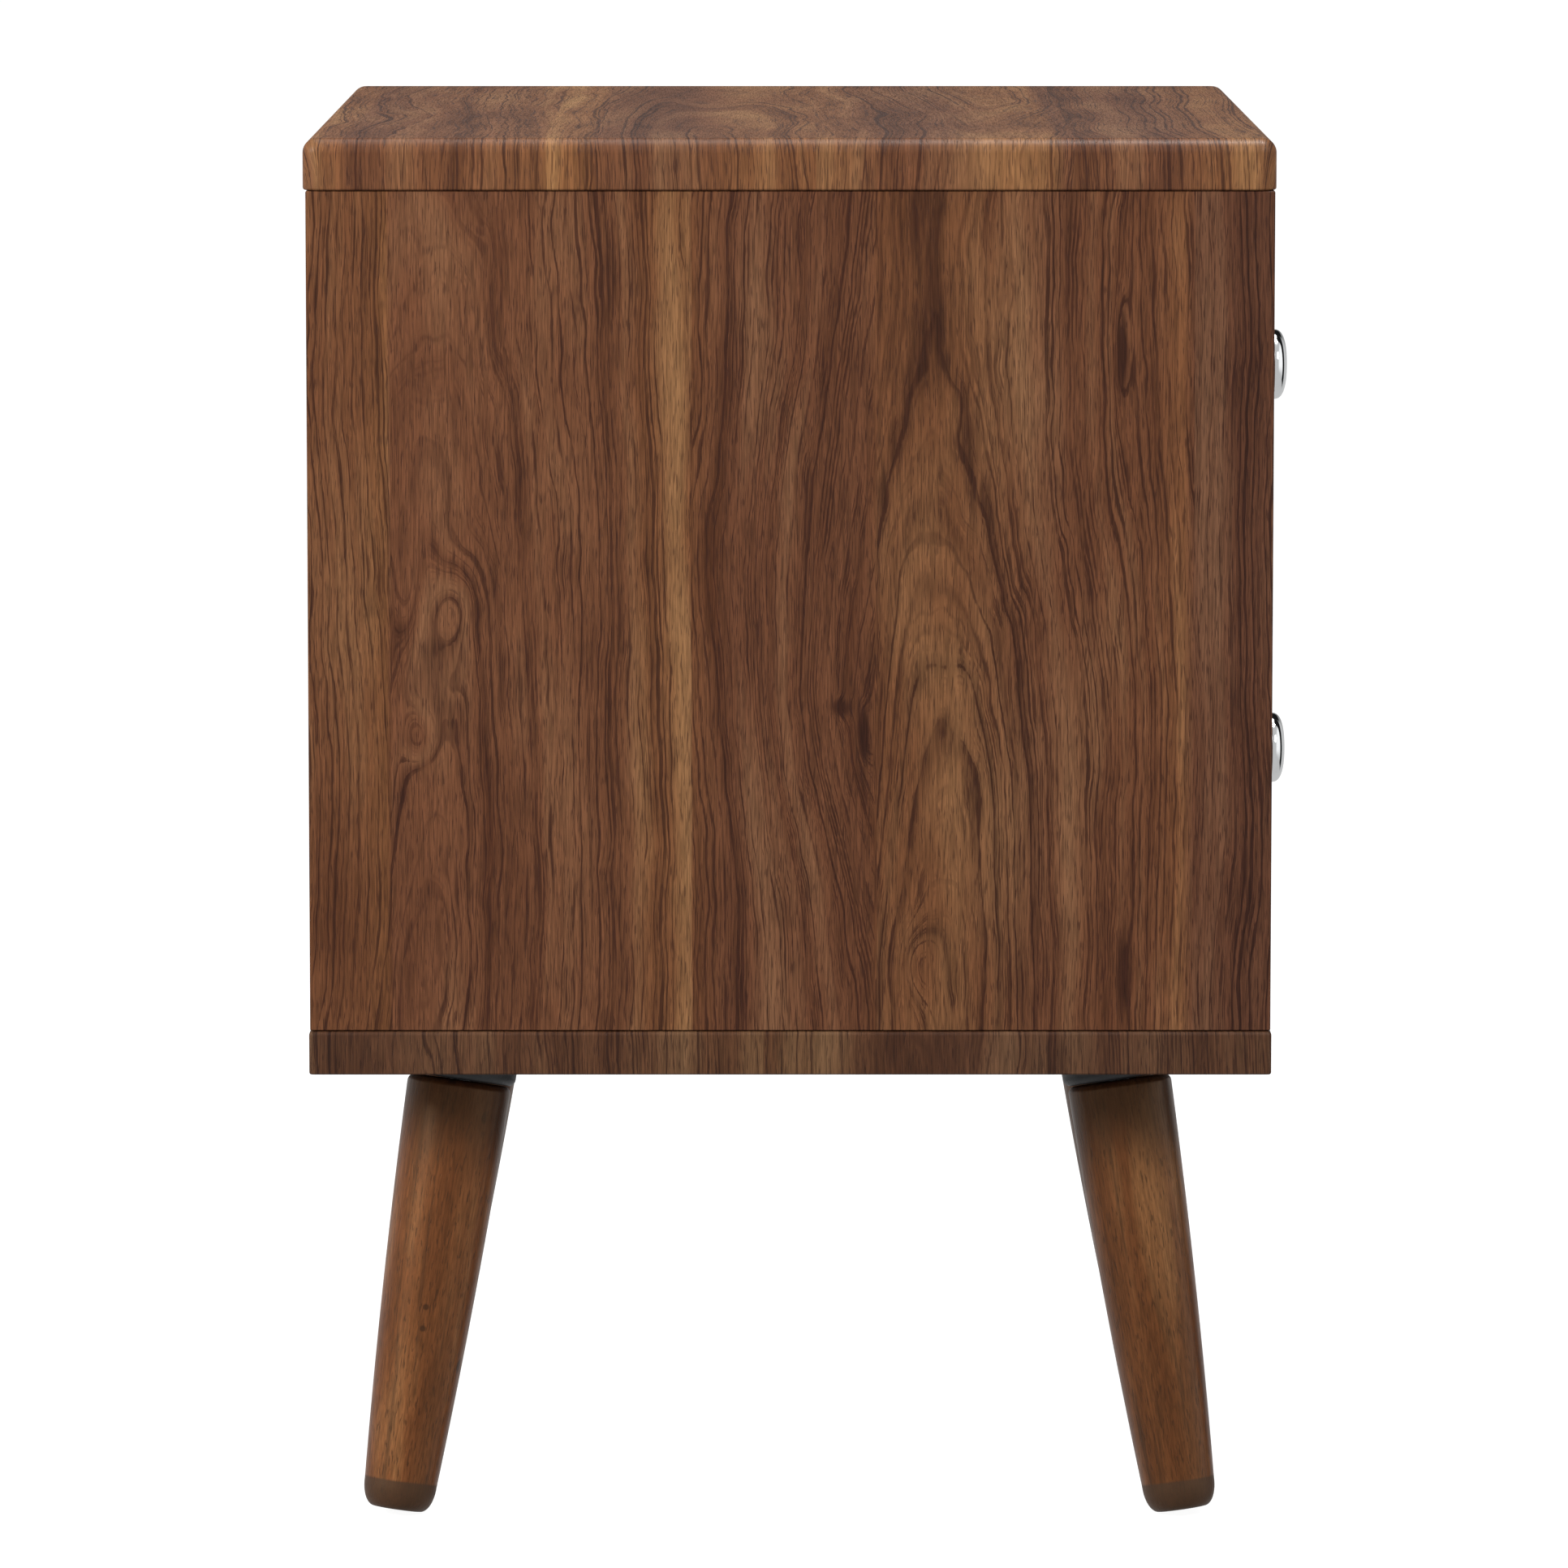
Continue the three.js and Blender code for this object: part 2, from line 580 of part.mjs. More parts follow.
/** The ball cage: a strip bent around the drawer's channel, which rolls half as far as the drawer. */
function ballCage(side, centreZ) {
  const half = CAGE.height / 2;
  const { offset, reach, steel } = CAGE;
  const outline = [
    [offset, -half],
    [offset + reach, -half],
    [offset + reach, steel - half],
    [offset + steel, steel - half],
    [offset + steel, half - steel],
    [offset + reach, half - steel],
    [offset + reach, half],
    [offset, half],
  ].map(([distance, z]) => [slideX(side, distance), z + centreZ - SLIDE.belowCentre]);
  return alongY(outline, faceBackY + SLIDE.start + CAGE.start, CAGE.length);
}

for (const [place, sign] of [["upper", 1], ["lower", -1]]) {
  const centreZ = caseMiddleZ + (sign * facePitch) / 2;
  drawer(place, centreZ);
  for (const [hand, side] of [["left", -1], ["right", 1]]) {
    const slide = `${place}_${hand}_slide`;
    add(nightstand, `${slide}_case_member`, caseSlideMember(side, centreZ), MATERIALS.zincSteel);
    add(nightstand, `${slide}_ball_cage`, ballCage(side, centreZ), MATERIALS.zincSteel);
  }
}

export default nightstand;
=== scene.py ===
"""The looks of a two-drawer nightstand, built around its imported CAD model: walnut laminate panels, turned and
stained legs, chrome knobs, birch drawer boxes and steel slides. Metres, +Z up, the front at -Y."""

import json
import math

import bmesh
import bpy
from mathutils import Matrix, Vector

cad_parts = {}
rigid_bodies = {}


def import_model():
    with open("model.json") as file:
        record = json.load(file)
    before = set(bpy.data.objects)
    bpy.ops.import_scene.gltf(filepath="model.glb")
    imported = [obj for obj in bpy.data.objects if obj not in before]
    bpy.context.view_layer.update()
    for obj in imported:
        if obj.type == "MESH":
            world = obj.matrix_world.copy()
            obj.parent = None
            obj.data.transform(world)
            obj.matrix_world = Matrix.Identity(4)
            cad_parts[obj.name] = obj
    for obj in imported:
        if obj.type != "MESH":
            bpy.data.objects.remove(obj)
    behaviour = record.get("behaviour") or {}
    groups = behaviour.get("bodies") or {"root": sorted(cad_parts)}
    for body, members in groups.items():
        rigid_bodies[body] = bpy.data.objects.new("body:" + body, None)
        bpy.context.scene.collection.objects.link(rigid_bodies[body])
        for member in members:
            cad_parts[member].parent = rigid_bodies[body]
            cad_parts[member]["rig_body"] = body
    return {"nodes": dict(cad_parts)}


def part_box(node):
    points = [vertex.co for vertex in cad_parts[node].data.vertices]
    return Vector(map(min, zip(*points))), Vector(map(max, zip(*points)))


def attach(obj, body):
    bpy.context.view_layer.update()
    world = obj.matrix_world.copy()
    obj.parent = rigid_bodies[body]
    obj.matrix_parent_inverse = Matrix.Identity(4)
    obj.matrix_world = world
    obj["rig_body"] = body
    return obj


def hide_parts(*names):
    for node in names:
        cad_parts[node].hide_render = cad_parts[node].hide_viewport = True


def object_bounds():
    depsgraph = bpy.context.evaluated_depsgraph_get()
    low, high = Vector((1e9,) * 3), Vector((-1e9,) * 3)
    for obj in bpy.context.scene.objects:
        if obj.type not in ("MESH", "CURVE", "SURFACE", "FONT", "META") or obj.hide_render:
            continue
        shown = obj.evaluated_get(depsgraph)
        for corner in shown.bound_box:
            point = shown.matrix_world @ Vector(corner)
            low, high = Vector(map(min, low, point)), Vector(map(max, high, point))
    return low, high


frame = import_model()
cad_low, cad_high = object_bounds()
nodes = frame["nodes"]

MM = 0.001
X, Y, Z = 0, 1, 2
PLACES = ("upper", "lower")
HANDS = ("left", "right")
CORNERS = ("front_left", "front_right", "rear_left", "rear_right")
ROUND_SIDES = 96  # of the legs, mounts and knobs

# ---- node trees


class Tree:
    """A material's node tree, with one short call for each kind of node. Most calls give an output socket."""

    def __init__(self, owner):
        owner.use_nodes = True
        self.owner = owner
        self.tree = owner.node_tree

    def node(self, kind, values=(), **settings):
        made = self.tree.nodes.new("ShaderNode" + kind)
        for key, value in settings.items():
            setattr(made, key, value)
        for socket, value in dict(values).items():
            self.put(made.inputs[socket], value)
        return made

    def put(self, socket, value):
        if isinstance(value, bpy.types.NodeSocket):
            self.tree.links.new(value, socket)
        else:
            socket.default_value = value

    def math(self, operation, *values):
        return self.node("Math", enumerate(values), operation=operation).outputs[0]

    def add(self, *values):
        total = values[0]
        for value in values[1:]:
            total = self.math("ADD", total, value)
        return total

    def times(self, a, b):
        return self.math("MULTIPLY", a, b)

    def vector(self, x, y, z):
        return self.node("CombineXYZ", {0: x, 1: y, 2: z}).outputs[0]

    def parts(self, vector):
        return self.node("SeparateXYZ", {0: vector}).outputs[:]

    def noise(self, place, scale, detail=2.0, roughness=0.5, distortion=0.0):
        """A noise with its own scale along each axis, in lumps per metre."""
        vector = self.node("VectorMath", {0: place, 1: scale}, operation="MULTIPLY").outputs[0]
        values = {"Vector": vector, "Scale": 1.0, "Detail": detail, "Roughness": roughness}
        values["Distortion"] = distortion
        return self.node("TexNoise", values).outputs[0]

    def line_noise(self, place, detail, roughness):
        values = {"W": place, "Scale": 1.0, "Detail": detail, "Roughness": roughness}
        return self.node("TexNoise", values, noise_dimensions="1D").outputs[0]

    def swing(self, noise, reach):
        """A noise as a push to either side of nothing."""
        return self.times(self.math("SUBTRACT", noise, 0.5), reach)

    def rise(self, value, low, high, to_low=0.0, to_high=1.0):
        """A smooth step from to_low to to_high, as value goes from low to high."""
        values = {"Value": value, "From Min": low, "From Max": high, "To Min": to_low, "To Max": to_high}
        return self.node("MapRange", values, interpolation_type="SMOOTHSTEP").outputs[0]

    def ramp_node(self, factor, stops, interpolation="LINEAR"):
        made = self.node("ValToRGB", {0: factor})
        made.color_ramp.interpolation = interpolation
        elements = made.color_ramp.elements
        while len(elements) < len(stops):
            elements.new(1.0)
        for element, (place, colour) in zip(elements, stops, strict=True):
            element.position = place
            element.color = colour if len(colour) == 4 else (*colour, 1.0)
        return made

    def ramp(self, factor, stops):
        return self.ramp_node(factor, stops).outputs[0]

    def mix(self, factor, a, b, blend="MIX"):
        made = self.node("Mix", data_type="RGBA", blend_type=blend)
        for socket, value in zip((0, 6, 7), (factor, a, b), strict=True):
            if isinstance(value, tuple):
                value = (*value, 1.0)
            self.put(made.inputs[socket], value)
        return made.outputs[2]

    def grey(self, value):
        return self.node("CombineColor", {0: value, 1: value, 2: value}).outputs[0]

    def bump(self, height, distance):
        values = {"Height": height, "Distance": distance, "Strength": 1.0}
        return self.node("Bump", values).outputs[0]

    def finish(self, **sockets):
        shader = self.tree.nodes["Principled BSDF"]
        for name, value in sockets.items():
            socket = shader.inputs[name.replace("_", " ")]
            self.put(socket, (*value, 1.0) if isinstance(value, tuple) and len(value) == 3 else value)
        return self.owner


def new_tree(name):
    return Tree(bpy.data.materials.new(name))


def grain_place(tree):
    """Where a point lies in the wood, from the mesh's own grain attribute: across, along and sheet on a
    laminate, and a turned or solid piece's own frame on the others."""
    return tree.node("Attribute", attribute_name="grain").outputs["Vector"]


# ---- wood


class Strip:
    """One flitch of a laminate: its width across the grain, and how its cut lies beside the tree's heart.
    heart is the heart's place across the panel and depth its distance below the surface at the grain's start.
    From there the heart sinks by drop, up to a distance reach along the grain. Lengths are in millimetres."""

    HEART_RANGE = (-400.0, 800.0)
    DEPTH_RANGE = (0.0, 200.0)
    DROP_RANGE = (-100.0, 100.0)
    REACH_RANGE = (0.0, 1000.0)

    def __init__(self, width, heart, depth, drop=0.0, reach=500.0):
        self.width = width
        self.values = (heart, depth, drop, reach)

    def code(self):
        """Its cut as a colour with its alpha, which a ramp can hold."""
        ranges = (self.HEART_RANGE, self.DEPTH_RANGE, self.DROP_RANGE, self.REACH_RANGE)
        return tuple((v - low) / (high - low) for v, (low, high) in zip(self.values, ranges, strict=True))


def decoded(tree, code, limits):
    low, high = limits
    return tree.add(tree.times(code, (high - low) * MM), low * MM)


class Knot:
    """A knot or eye in one strip: its place, its half width and half length, how far it pushes the rings, and
    how dark it is."""

    def __init__(self, strip, across, along, width, length, push, dark=0.0):
        self.strip, self.across, self.along, self.width, self.length = strip, across, along, width, length
        self.push, self.dark = push, dark


class Arch:
    """One dark ring in one strip: its distance from the heart, its half width and how dark it is."""

    def __init__(self, strip, ring, half_width, dark):
        self.strip, self.ring, self.half_width, self.dark = strip, ring, half_width, dark


WALNUT_DARK = (0.038, 0.0140, 0.0085)
WALNUT_DEEP = (0.094, 0.0360, 0.0165)
WALNUT_MID = (0.160, 0.0680, 0.0320)
WALNUT_GOLD = (0.240, 0.1240, 0.0600)


def walnut(name, strips, tones, knots=(), arches=(), tone=(1.0, 1.0, 1.0), gloss=0.12):
    """Walnut laminate. The rings are distances from a leaning heart, so they draw arches where the heart lies
    below a strip, and straight lines beside it. tones are (place in mm across, colour) multipliers."""
    tree = new_tree(name)
    across, along, sheet = tree.parts(grain_place(tree))
    total = sum(strip.width for strip in strips) * MM
    share = tree.math("DIVIDE", across, total)

    starts = [sum(s.width for s in strips[:i]) * MM / total for i in range(len(strips))]
    codes = [(start, strip.code()) for start, strip in zip(starts, strips, strict=True)]
    cut = tree.ramp_node(share, codes, "CONSTANT")
    heart, depth, drop = tree.parts(cut.outputs["Color"])
    heart = decoded(tree, heart, Strip.HEART_RANGE)
    depth = decoded(tree, depth, Strip.DEPTH_RANGE)
    drop = decoded(tree, drop, Strip.DROP_RANGE)
    reach = decoded(tree, cut.outputs["Alpha"], Strip.REACH_RANGE)

    # A slow wander, a wave and a tremble push the lines about, more along the grain than across it.
    seed = tree.add(tree.times(sheet, 7.3), tree.times(heart, 40.0))
    place = tree.vector(across, along, seed)
    wander = tree.swing(tree.noise(place, (6.0, 4.2, 1.0), 1.0), 0.030)
    wave = tree.swing(tree.noise(place, (38.0, 17.0, 1.0), 2.0), 0.0058)
    tremble = tree.swing(tree.noise(place, (260.0, 60.0, 1.0), 2.0), 0.0013)
    wide = tree.math("SUBTRACT", tree.add(across, wander, wave, tremble), heart)
    sink = tree.times(tree.rise(along, 0.0, reach), drop)
    deep = tree.add(depth, sink, tree.times(wave, 1.6))
    rings = tree.math("SQRT", tree.add(tree.times(wide, wide), tree.times(deep, deep)))
    flank = tree.math("DIVIDE", tree.math("ABSOLUTE", wide), rings)

    def within(strip):
        """One inside a strip and nothing outside it."""
        half = strips[strip].width * MM / 2
        return tree.math("COMPARE", across, starts[strip] * total + half, half)

    def bell(value, half_width):
        away = tree.times(value, 1 / half_width)
        return tree.times(away, away)

    dark = 0.0
    for knot in knots:
        sideways = bell(tree.math("SUBTRACT", tree.add(across, wave), knot.across * MM), knot.width * MM)
        lengthwise = bell(tree.math("SUBTRACT", along, knot.along * MM), knot.length * MM)
        near = tree.math("EXPONENT", tree.times(tree.add(sideways, lengthwise), -1.0))
        near = tree.times(near, within(knot.strip))
        rings = tree.add(rings, tree.times(near, knot.push * MM))
        if knot.dark:
            dark = tree.add(dark, tree.rise(near, 0.35, 0.95, 0.0, knot.dark))

    shift = tree.times(seed, 3.1)
    broad = tree.line_noise(tree.add(tree.times(rings, 62.0), shift), 2.0, 0.6)
    fine = tree.line_noise(tree.add(tree.times(rings, 740.0), shift), 2.0, 0.6)
    patch = tree.noise(place, (30.0, 7.0, 1.0), 2.0, 0.5)
    breaks = tree.noise(place, (240.0, 24.0, 1.0), 2.0, 0.6)
    fibre = tree.noise(place, (1700.0, 60.0, 1.0), 2.0, 0.6)
    pores = tree.noise(place, (2100.0, 130.0, 1.0), 1.0, 0.5)

    base = tree.ramp(
        tree.add(tree.times(broad, 0.45), tree.times(patch, 0.55)),
        [(0.30, WALNUT_DEEP), (0.49, WALNUT_MID), (0.69, WALNUT_GOLD)],
    )
    for arch in arches:
        away = bell(tree.math("SUBTRACT", rings, arch.ring * MM), arch.half_width * MM)
        near = tree.times(tree.math("EXPONENT", tree.times(away, -1.0)), within(arch.strip))
        broken = tree.rise(breaks, 0.32, 0.60, 0.35, 1.0)
        dark = tree.add(dark, tree.times(tree.times(near, arch.dark), broken))
    dashed = tree.add(fine, tree.swing(fibre, 0.62), tree.swing(breaks, 0.62), tree.swing(broad, -0.40))
    late = tree.times(tree.rise(dashed, 0.53, 0.70, 0.0, 0.84), tree.rise(flank, 0.15, 0.8, 0.40, 1.0))
    base = tree.mix(tree.math("MINIMUM", tree.add(dark, late), 0.93), base, WALNUT_DARK)
    streak = tree.grey(tree.rise(fibre, 0.26, 0.74, 0.64, 1.36))
    base = tree.mix(1.0, base, streak, "MULTIPLY")
    pore = tree.rise(pores, 0.58, 0.68)
    base = tree.mix(tree.times(pore, 0.60), base, WALNUT_DARK)
    stops = [(place * MM / total, colour) for place, colour in tones]
    base = tree.mix(1.0, base, tree.ramp(share, stops), "MULTIPLY")
    # tone multiplies the whole board; on the top and the bottom it holds painted light and painted shade as
    # well as the laminate's own tone
    base = tree.mix(1.0, base, tone, "MULTIPLY")

    height = tree.add(tree.times(fibre, 0.5), tree.times(pore, -0.8), tree.times(fine, -0.3))
    rough = tree.add(tree.times(pore, 0.15), tree.rise(fibre, 0.3, 0.7, 0.47, 0.38))
    return tree.finish(
        Base_Color=base,
        Roughness=rough,
        Specular_IOR_Level=gloss,
        Normal=tree.bump(height, 0.05 * MM),
    )


LEG_DARK = (0.026, 0.0100, 0.0060)
LEG_DEEP = (0.094, 0.0290, 0.0100)
LEG_MID = (0.156, 0.0530, 0.0180)
LEG_LIGHT = (0.262, 0.1120, 0.0420)
LEG_SHEEN = (1.0, 0.66, 0.38)
# The colour below the mount: partly stain, partly painted shade under the mount and case
LEG_COLLAR_STAIN_AND_SHADE = (0.048, 0.0170, 0.0088)
FOOT_STAIN = (0.046, 0.0250, 0.0160)
FOOT_BAND = 12 * MM
FOOT_BAND_BLUR = 0.6 * MM
COLLAR_END = 44 * MM  # below the leg's upper end, where the stain and the painted shade under the mount fade out
COLLAR_FULL = 14 * MM
COLLAR_RAGGEDNESS = 26 * MM
COLLAR_STRENGTH = 0.58
FLECK_RADIUS = 1.3 * MM
FLECK_FADE = 0.5 * MM


def leg_wood(length, flecks):
    """Stained solid wood, turned. along runs up from the foot. The foot's end is dark, and so is the wood
    below the mount: partly stain, partly painted shade for the shade under the mount. flecks are the places of
    small dark dots, in the terms of the grain attribute. The tone attribute darkens or lightens a whole leg."""
    tree = new_tree("leg_wood")
    place = grain_place(tree)
    along = tree.parts(place)[1]
    mottle = tree.noise(place, (80.0, 9.0, 80.0), 3.0, 0.6, 0.5)
    broad = tree.noise(place, (30.0, 6.0, 30.0), 2.0)
    lines = tree.noise(place, (330.0, 7.0, 330.0), 2.0, 0.5, 0.3)
    fibre = tree.noise(place, (1400.0, 110.0, 1400.0), 2.0, 0.6)
    pores = tree.noise(place, (1300.0, 170.0, 1300.0), 1.0)
    knots = tree.noise(place, (150.0, 70.0, 150.0), 0.0)
    base = tree.ramp(
        tree.add(tree.times(mottle, 0.45), tree.times(broad, 0.40), tree.times(lines, 0.15)),
        [(0.36, LEG_DEEP), (0.50, LEG_MID), (0.63, LEG_LIGHT)],
    )
    base = tree.mix(tree.rise(lines, 0.54, 0.72, 0.0, 0.55), base, LEG_DARK)
    streak = tree.grey(tree.rise(fibre, 0.28, 0.72, 0.70, 1.30))
    base = tree.mix(1.0, base, streak, "MULTIPLY")
    pore = tree.times(tree.rise(pores, 0.60, 0.68), 0.60)
    base = tree.mix(pore, base, LEG_DARK)
    base = tree.mix(tree.rise(knots, 0.82, 0.88, 0.0, 0.85), base, LEG_DARK)
    own_tone = tree.node("Attribute", attribute_name="tone").outputs["Fac"]
    base = tree.mix(1.0, base, tree.grey(own_tone), "MULTIPLY")

    edge = tree.add(along, tree.swing(broad, 1.5 * MM))
    foot = tree.rise(edge, FOOT_BAND - FOOT_BAND_BLUR, FOOT_BAND + FOOT_BAND_BLUR, 1.0, 0.0)
    # Painted shade under the mount, with stain: the wood darkens towards the leg's upper end
    ragged = tree.add(edge, tree.swing(mottle, COLLAR_RAGGEDNESS))
    collar_stain_and_shade = tree.rise(ragged, length - COLLAR_END, length - COLLAR_FULL, 0.0, COLLAR_STRENGTH)
    base = tree.mix(tree.times(foot, 0.86), base, FOOT_STAIN)
    base = tree.mix(collar_stain_and_shade, base, LEG_COLLAR_STAIN_AND_SHADE)
    for fleck in flecks:
        away = tree.node("VectorMath", {0: place, 1: fleck}, operation="DISTANCE").outputs["Value"]
        near = tree.rise(away, FLECK_RADIUS - FLECK_FADE, FLECK_RADIUS + FLECK_FADE, 0.8, 0.0)
        base = tree.mix(near, base, LEG_DARK)
    rough = tree.add(tree.rise(fibre, 0.3, 0.7, 0.38, 0.28), tree.times(foot, 0.16))
    height = tree.add(tree.times(fibre, 0.4), tree.times(pore, -1.0))
    return tree.finish(
        Base_Color=base,
        Roughness=rough,
        Specular_IOR_Level=0.45,
        Specular_Tint=LEG_SHEEN,
        Normal=tree.bump(height, 0.05 * MM),
    )


def pale_wood(name, light, dark, layered=False):
    """Clear-lacquered birch, or plywood, whose edges show its layers."""
    tree = new_tree(name)
    place = grain_place(tree)
    flame = tree.noise(place, (34.0, 4.0, 34.0), 3.0, 0.55, 0.6)
    fibre = tree.noise(place, (800.0, 15.0, 800.0), 3.0, 0.6)
    fleck = tree.noise(place, (900.0, 110.0, 900.0), 1.0)
    base = tree.ramp(flame, [(0.32, dark), (0.62, light)])
    base = tree.mix(1.0, base, tree.grey(tree.rise(fibre, 0.3, 0.7, 0.86, 1.10)), "MULTIPLY")
    base = tree.mix(tree.rise(fleck, 0.63, 0.72, 0.0, 0.35), base, dark)
    if layered:
        ply = tree.math("SINE", tree.times(tree.parts(place)[2], 2 * math.pi / (1.4 * MM)))
        base = tree.mix(tree.rise(ply, 0.2, 0.6, 0.0, 0.25), base, dark)
    rough = tree.rise(fibre, 0.3, 0.7, 0.58, 0.48)
    return tree.finish(Base_Color=base, Roughness=rough, Normal=tree.bump(fibre, 0.04 * MM))


def hardboard():
    """Brown hardboard: pressed fibres, no grain."""
    tree = new_tree("hardboard")
    place = tree.node("TexCoord").outputs["Object"]
    fibres = tree.noise(place, (700.0, 700.0, 420.0), 4.0, 0.7, 1.2)
    cloud = tree.noise(place, (14.0, 14.0, 14.0), 3.0)
    base = tree.ramp(
        tree.add(tree.times(fibres, 0.6), tree.times(cloud, 0.4)),
        [(0.35, (0.085, 0.048, 0.027)), (0.65, (0.190, 0.115, 0.066))],
    )
    rough = tree.rise(fibres, 0.3, 0.7, 0.85, 0.68)
    return tree.finish(Base_Color=base, Roughness=rough, Normal=tree.bump(fibres, 0.10 * MM))


# ---- metal


def chrome():
    """Polished chrome, with the faint haze that fingers leave."""
    tree = new_tree("chrome")
    place = tree.node("TexCoord").outputs["Object"]
    haze = tree.noise(place, (90.0, 90.0, 90.0), 3.0, 0.6)
    rough = tree.rise(haze, 0.40, 0.75, 0.045, 0.11)
    base = tree.ramp(haze, [(0.35, (0.86, 0.87, 0.88)), (0.70, (0.80, 0.81, 0.82))])
    return tree.finish(Base_Color=base, Roughness=rough, Metallic=1.0)


def zinc_steel():
    """Rolled steel with bright zinc, its spangle just visible."""
    tree = new_tree("zinc_steel")
    place = tree.node("TexCoord").outputs["Object"]
    spangle = tree.noise(place, (260.0, 90.0, 260.0), 3.0, 0.6)
    rolled = tree.noise(place, (1400.0, 24.0, 1400.0), 2.0)
    base = tree.ramp(spangle, [(0.35, (0.42, 0.43, 0.45)), (0.68, (0.62, 0.63, 0.65))])
    rough = tree.add(tree.rise(spangle, 0.3, 0.7, 0.26, 0.40), tree.swing(rolled, 0.08))
    return tree.finish(
        Base_Color=base, Roughness=rough, Metallic=1.0, Normal=tree.bump(rolled, 0.01 * MM)
    )


def black_powder_coat():
    """Black powder-coated steel, with its fine orange peel."""
    tree = new_tree("black_powder_coat")
    place = tree.node("TexCoord").outputs["Object"]
    peel = tree.noise(place, (1100.0, 1100.0, 1100.0), 2.0)
    cloud = tree.noise(place, (60.0, 60.0, 60.0), 2.0)
    base = tree.ramp(cloud, [(0.3, (0.011, 0.012, 0.013)), (0.7, (0.022, 0.023, 0.025))])
    rough = tree.rise(peel, 0.3, 0.7, 0.42, 0.56)
    return tree.finish(Base_Color=base, Roughness=rough, Normal=tree.bump(peel, 0.03 * MM))


# ---- meshes


def mesh_of(form, name):
    """A bmesh as a mesh with its faces outward and smooth."""
    bmesh.ops.recalc_face_normals(form, faces=form.faces)
    mesh = bpy.data.meshes.new(name)
    form.to_mesh(mesh)
    form.free()
    mesh.shade_smooth()
    return mesh


def lofted(rings, name):
    """A closed mesh through rings of points, with a flat face on each end."""
    form = bmesh.new()
    loops = [[form.verts.new(point) for point in ring] for ring in rings]
    count = len(loops[0])
    for low, high in zip(loops, loops[1:], strict=False):
        for i in range(count):
            after = (i + 1) % count
            form.faces.new((low[i], low[after], high[after], high[i]))
    form.faces.new(loops[0])
    form.faces.new(loops[-1])
    return mesh_of(form, name)


def quarter_turn(steps):
    """Even angles from nothing to a right angle."""
    return [math.pi / 2 * i / steps for i in range(steps + 1)]


def quarter(radius, steps):
    """(inset, rise) points round a quarter circle, from the flat end to the side."""
    return [(radius * (1 - math.sin(a)), radius * (1 - math.cos(a))) for a in quarter_turn(steps)]


def rounded_outline(low, high, inset, corner, steps):
    """Points round a rectangle with rounded corners, inset from it."""
    radius = max(corner - inset, 0.2 * MM)
    centres = [
        (high[X] - inset - radius, high[Y] - inset - radius),
        (low[X] + inset + radius, high[Y] - inset - radius),
        (low[X] + inset + radius, low[Y] + inset + radius),
        (high[X] - inset - radius, low[Y] + inset + radius),
    ]
    points = []
    for turn, (x, y) in enumerate(centres):
        for i in range(steps + 1):
            angle = math.pi / 2 * (turn + i / steps)
            points.append((x + radius * math.cos(angle), y + radius * math.sin(angle)))
    return points


def rounded_slab(low, high, top_radius, bottom_radius, corner, name):
    """A board lying flat, rounded along its upper edge, its lower edge and its corners."""
    support = 2 * MM
    steps = 10
    below = [(inset, low[Z] + rise) for inset, rise in quarter(bottom_radius, 4)]
    above = [(inset, high[Z] - rise) for inset, rise in reversed(quarter(top_radius, steps))]
    profile = [
        (bottom_radius + support, low[Z]),
        *below,
        *above,
        (top_radius + support, high[Z]),
    ]
    rings = [
        [(x, y, z) for x, y in rounded_outline(low, high, inset, corner, steps)] for inset, z in profile
    ]
    return lofted(rings, name)


def turned(profile, sides, place, name):
    """A turned mesh from (radius, height) points that start and end on the axis, placed by a matrix."""
    form = bmesh.new()
    rings = []
    for radius, height in profile:
        if radius == 0:
            rings.append([form.verts.new(place @ Vector((0, 0, height)))])
            continue
        angles = [2 * math.pi * i / sides for i in range(sides)]
        circle = [Vector((radius * math.cos(a), radius * math.sin(a), height)) for a in angles]
        rings.append([form.verts.new(place @ point) for point in circle])
    for low, high in zip(rings, rings[1:], strict=False):
        for i in range(sides):
            after = (i + 1) % sides
            corners = [low[i % len(low)], low[after % len(low)], high[after % len(high)], high[i % len(high)]]
            form.faces.new(list(dict.fromkeys(corners)))
    return mesh_of(form, name)


def dressed(node, bevel):
    """A CAD node's mesh with its flat faces whole again and its sharp edges rounded."""
    form = bmesh.new()
    form.from_mesh(nodes[node].data)
    bmesh.ops.remove_doubles(form, verts=form.verts, dist=0.002 * MM)
    bmesh.ops.dissolve_limit(form, angle_limit=math.radians(1), verts=form.verts, edges=form.edges)
    sharp = [e for e in form.edges if len(e.link_faces) == 2 and e.calc_face_angle() > math.radians(30)]
    bmesh.ops.bevel(
        form,
        geom=sharp,
        offset=bevel,
        segments=2,
        profile=0.5,
        affect="EDGES",
        clamp_overlap=True,
    )
    return mesh_of(form, node + "_mesh")


def extent(mesh):
    axes = list(zip(*(vertex.co for vertex in mesh.vertices), strict=True))
    return [min(axis) for axis in axes], [max(axis) for axis in axes]


def middle(low, high):
    """The middle of a box, from its two corners."""
    return [(a + b) / 2 for a, b in zip(low, high, strict=True)]


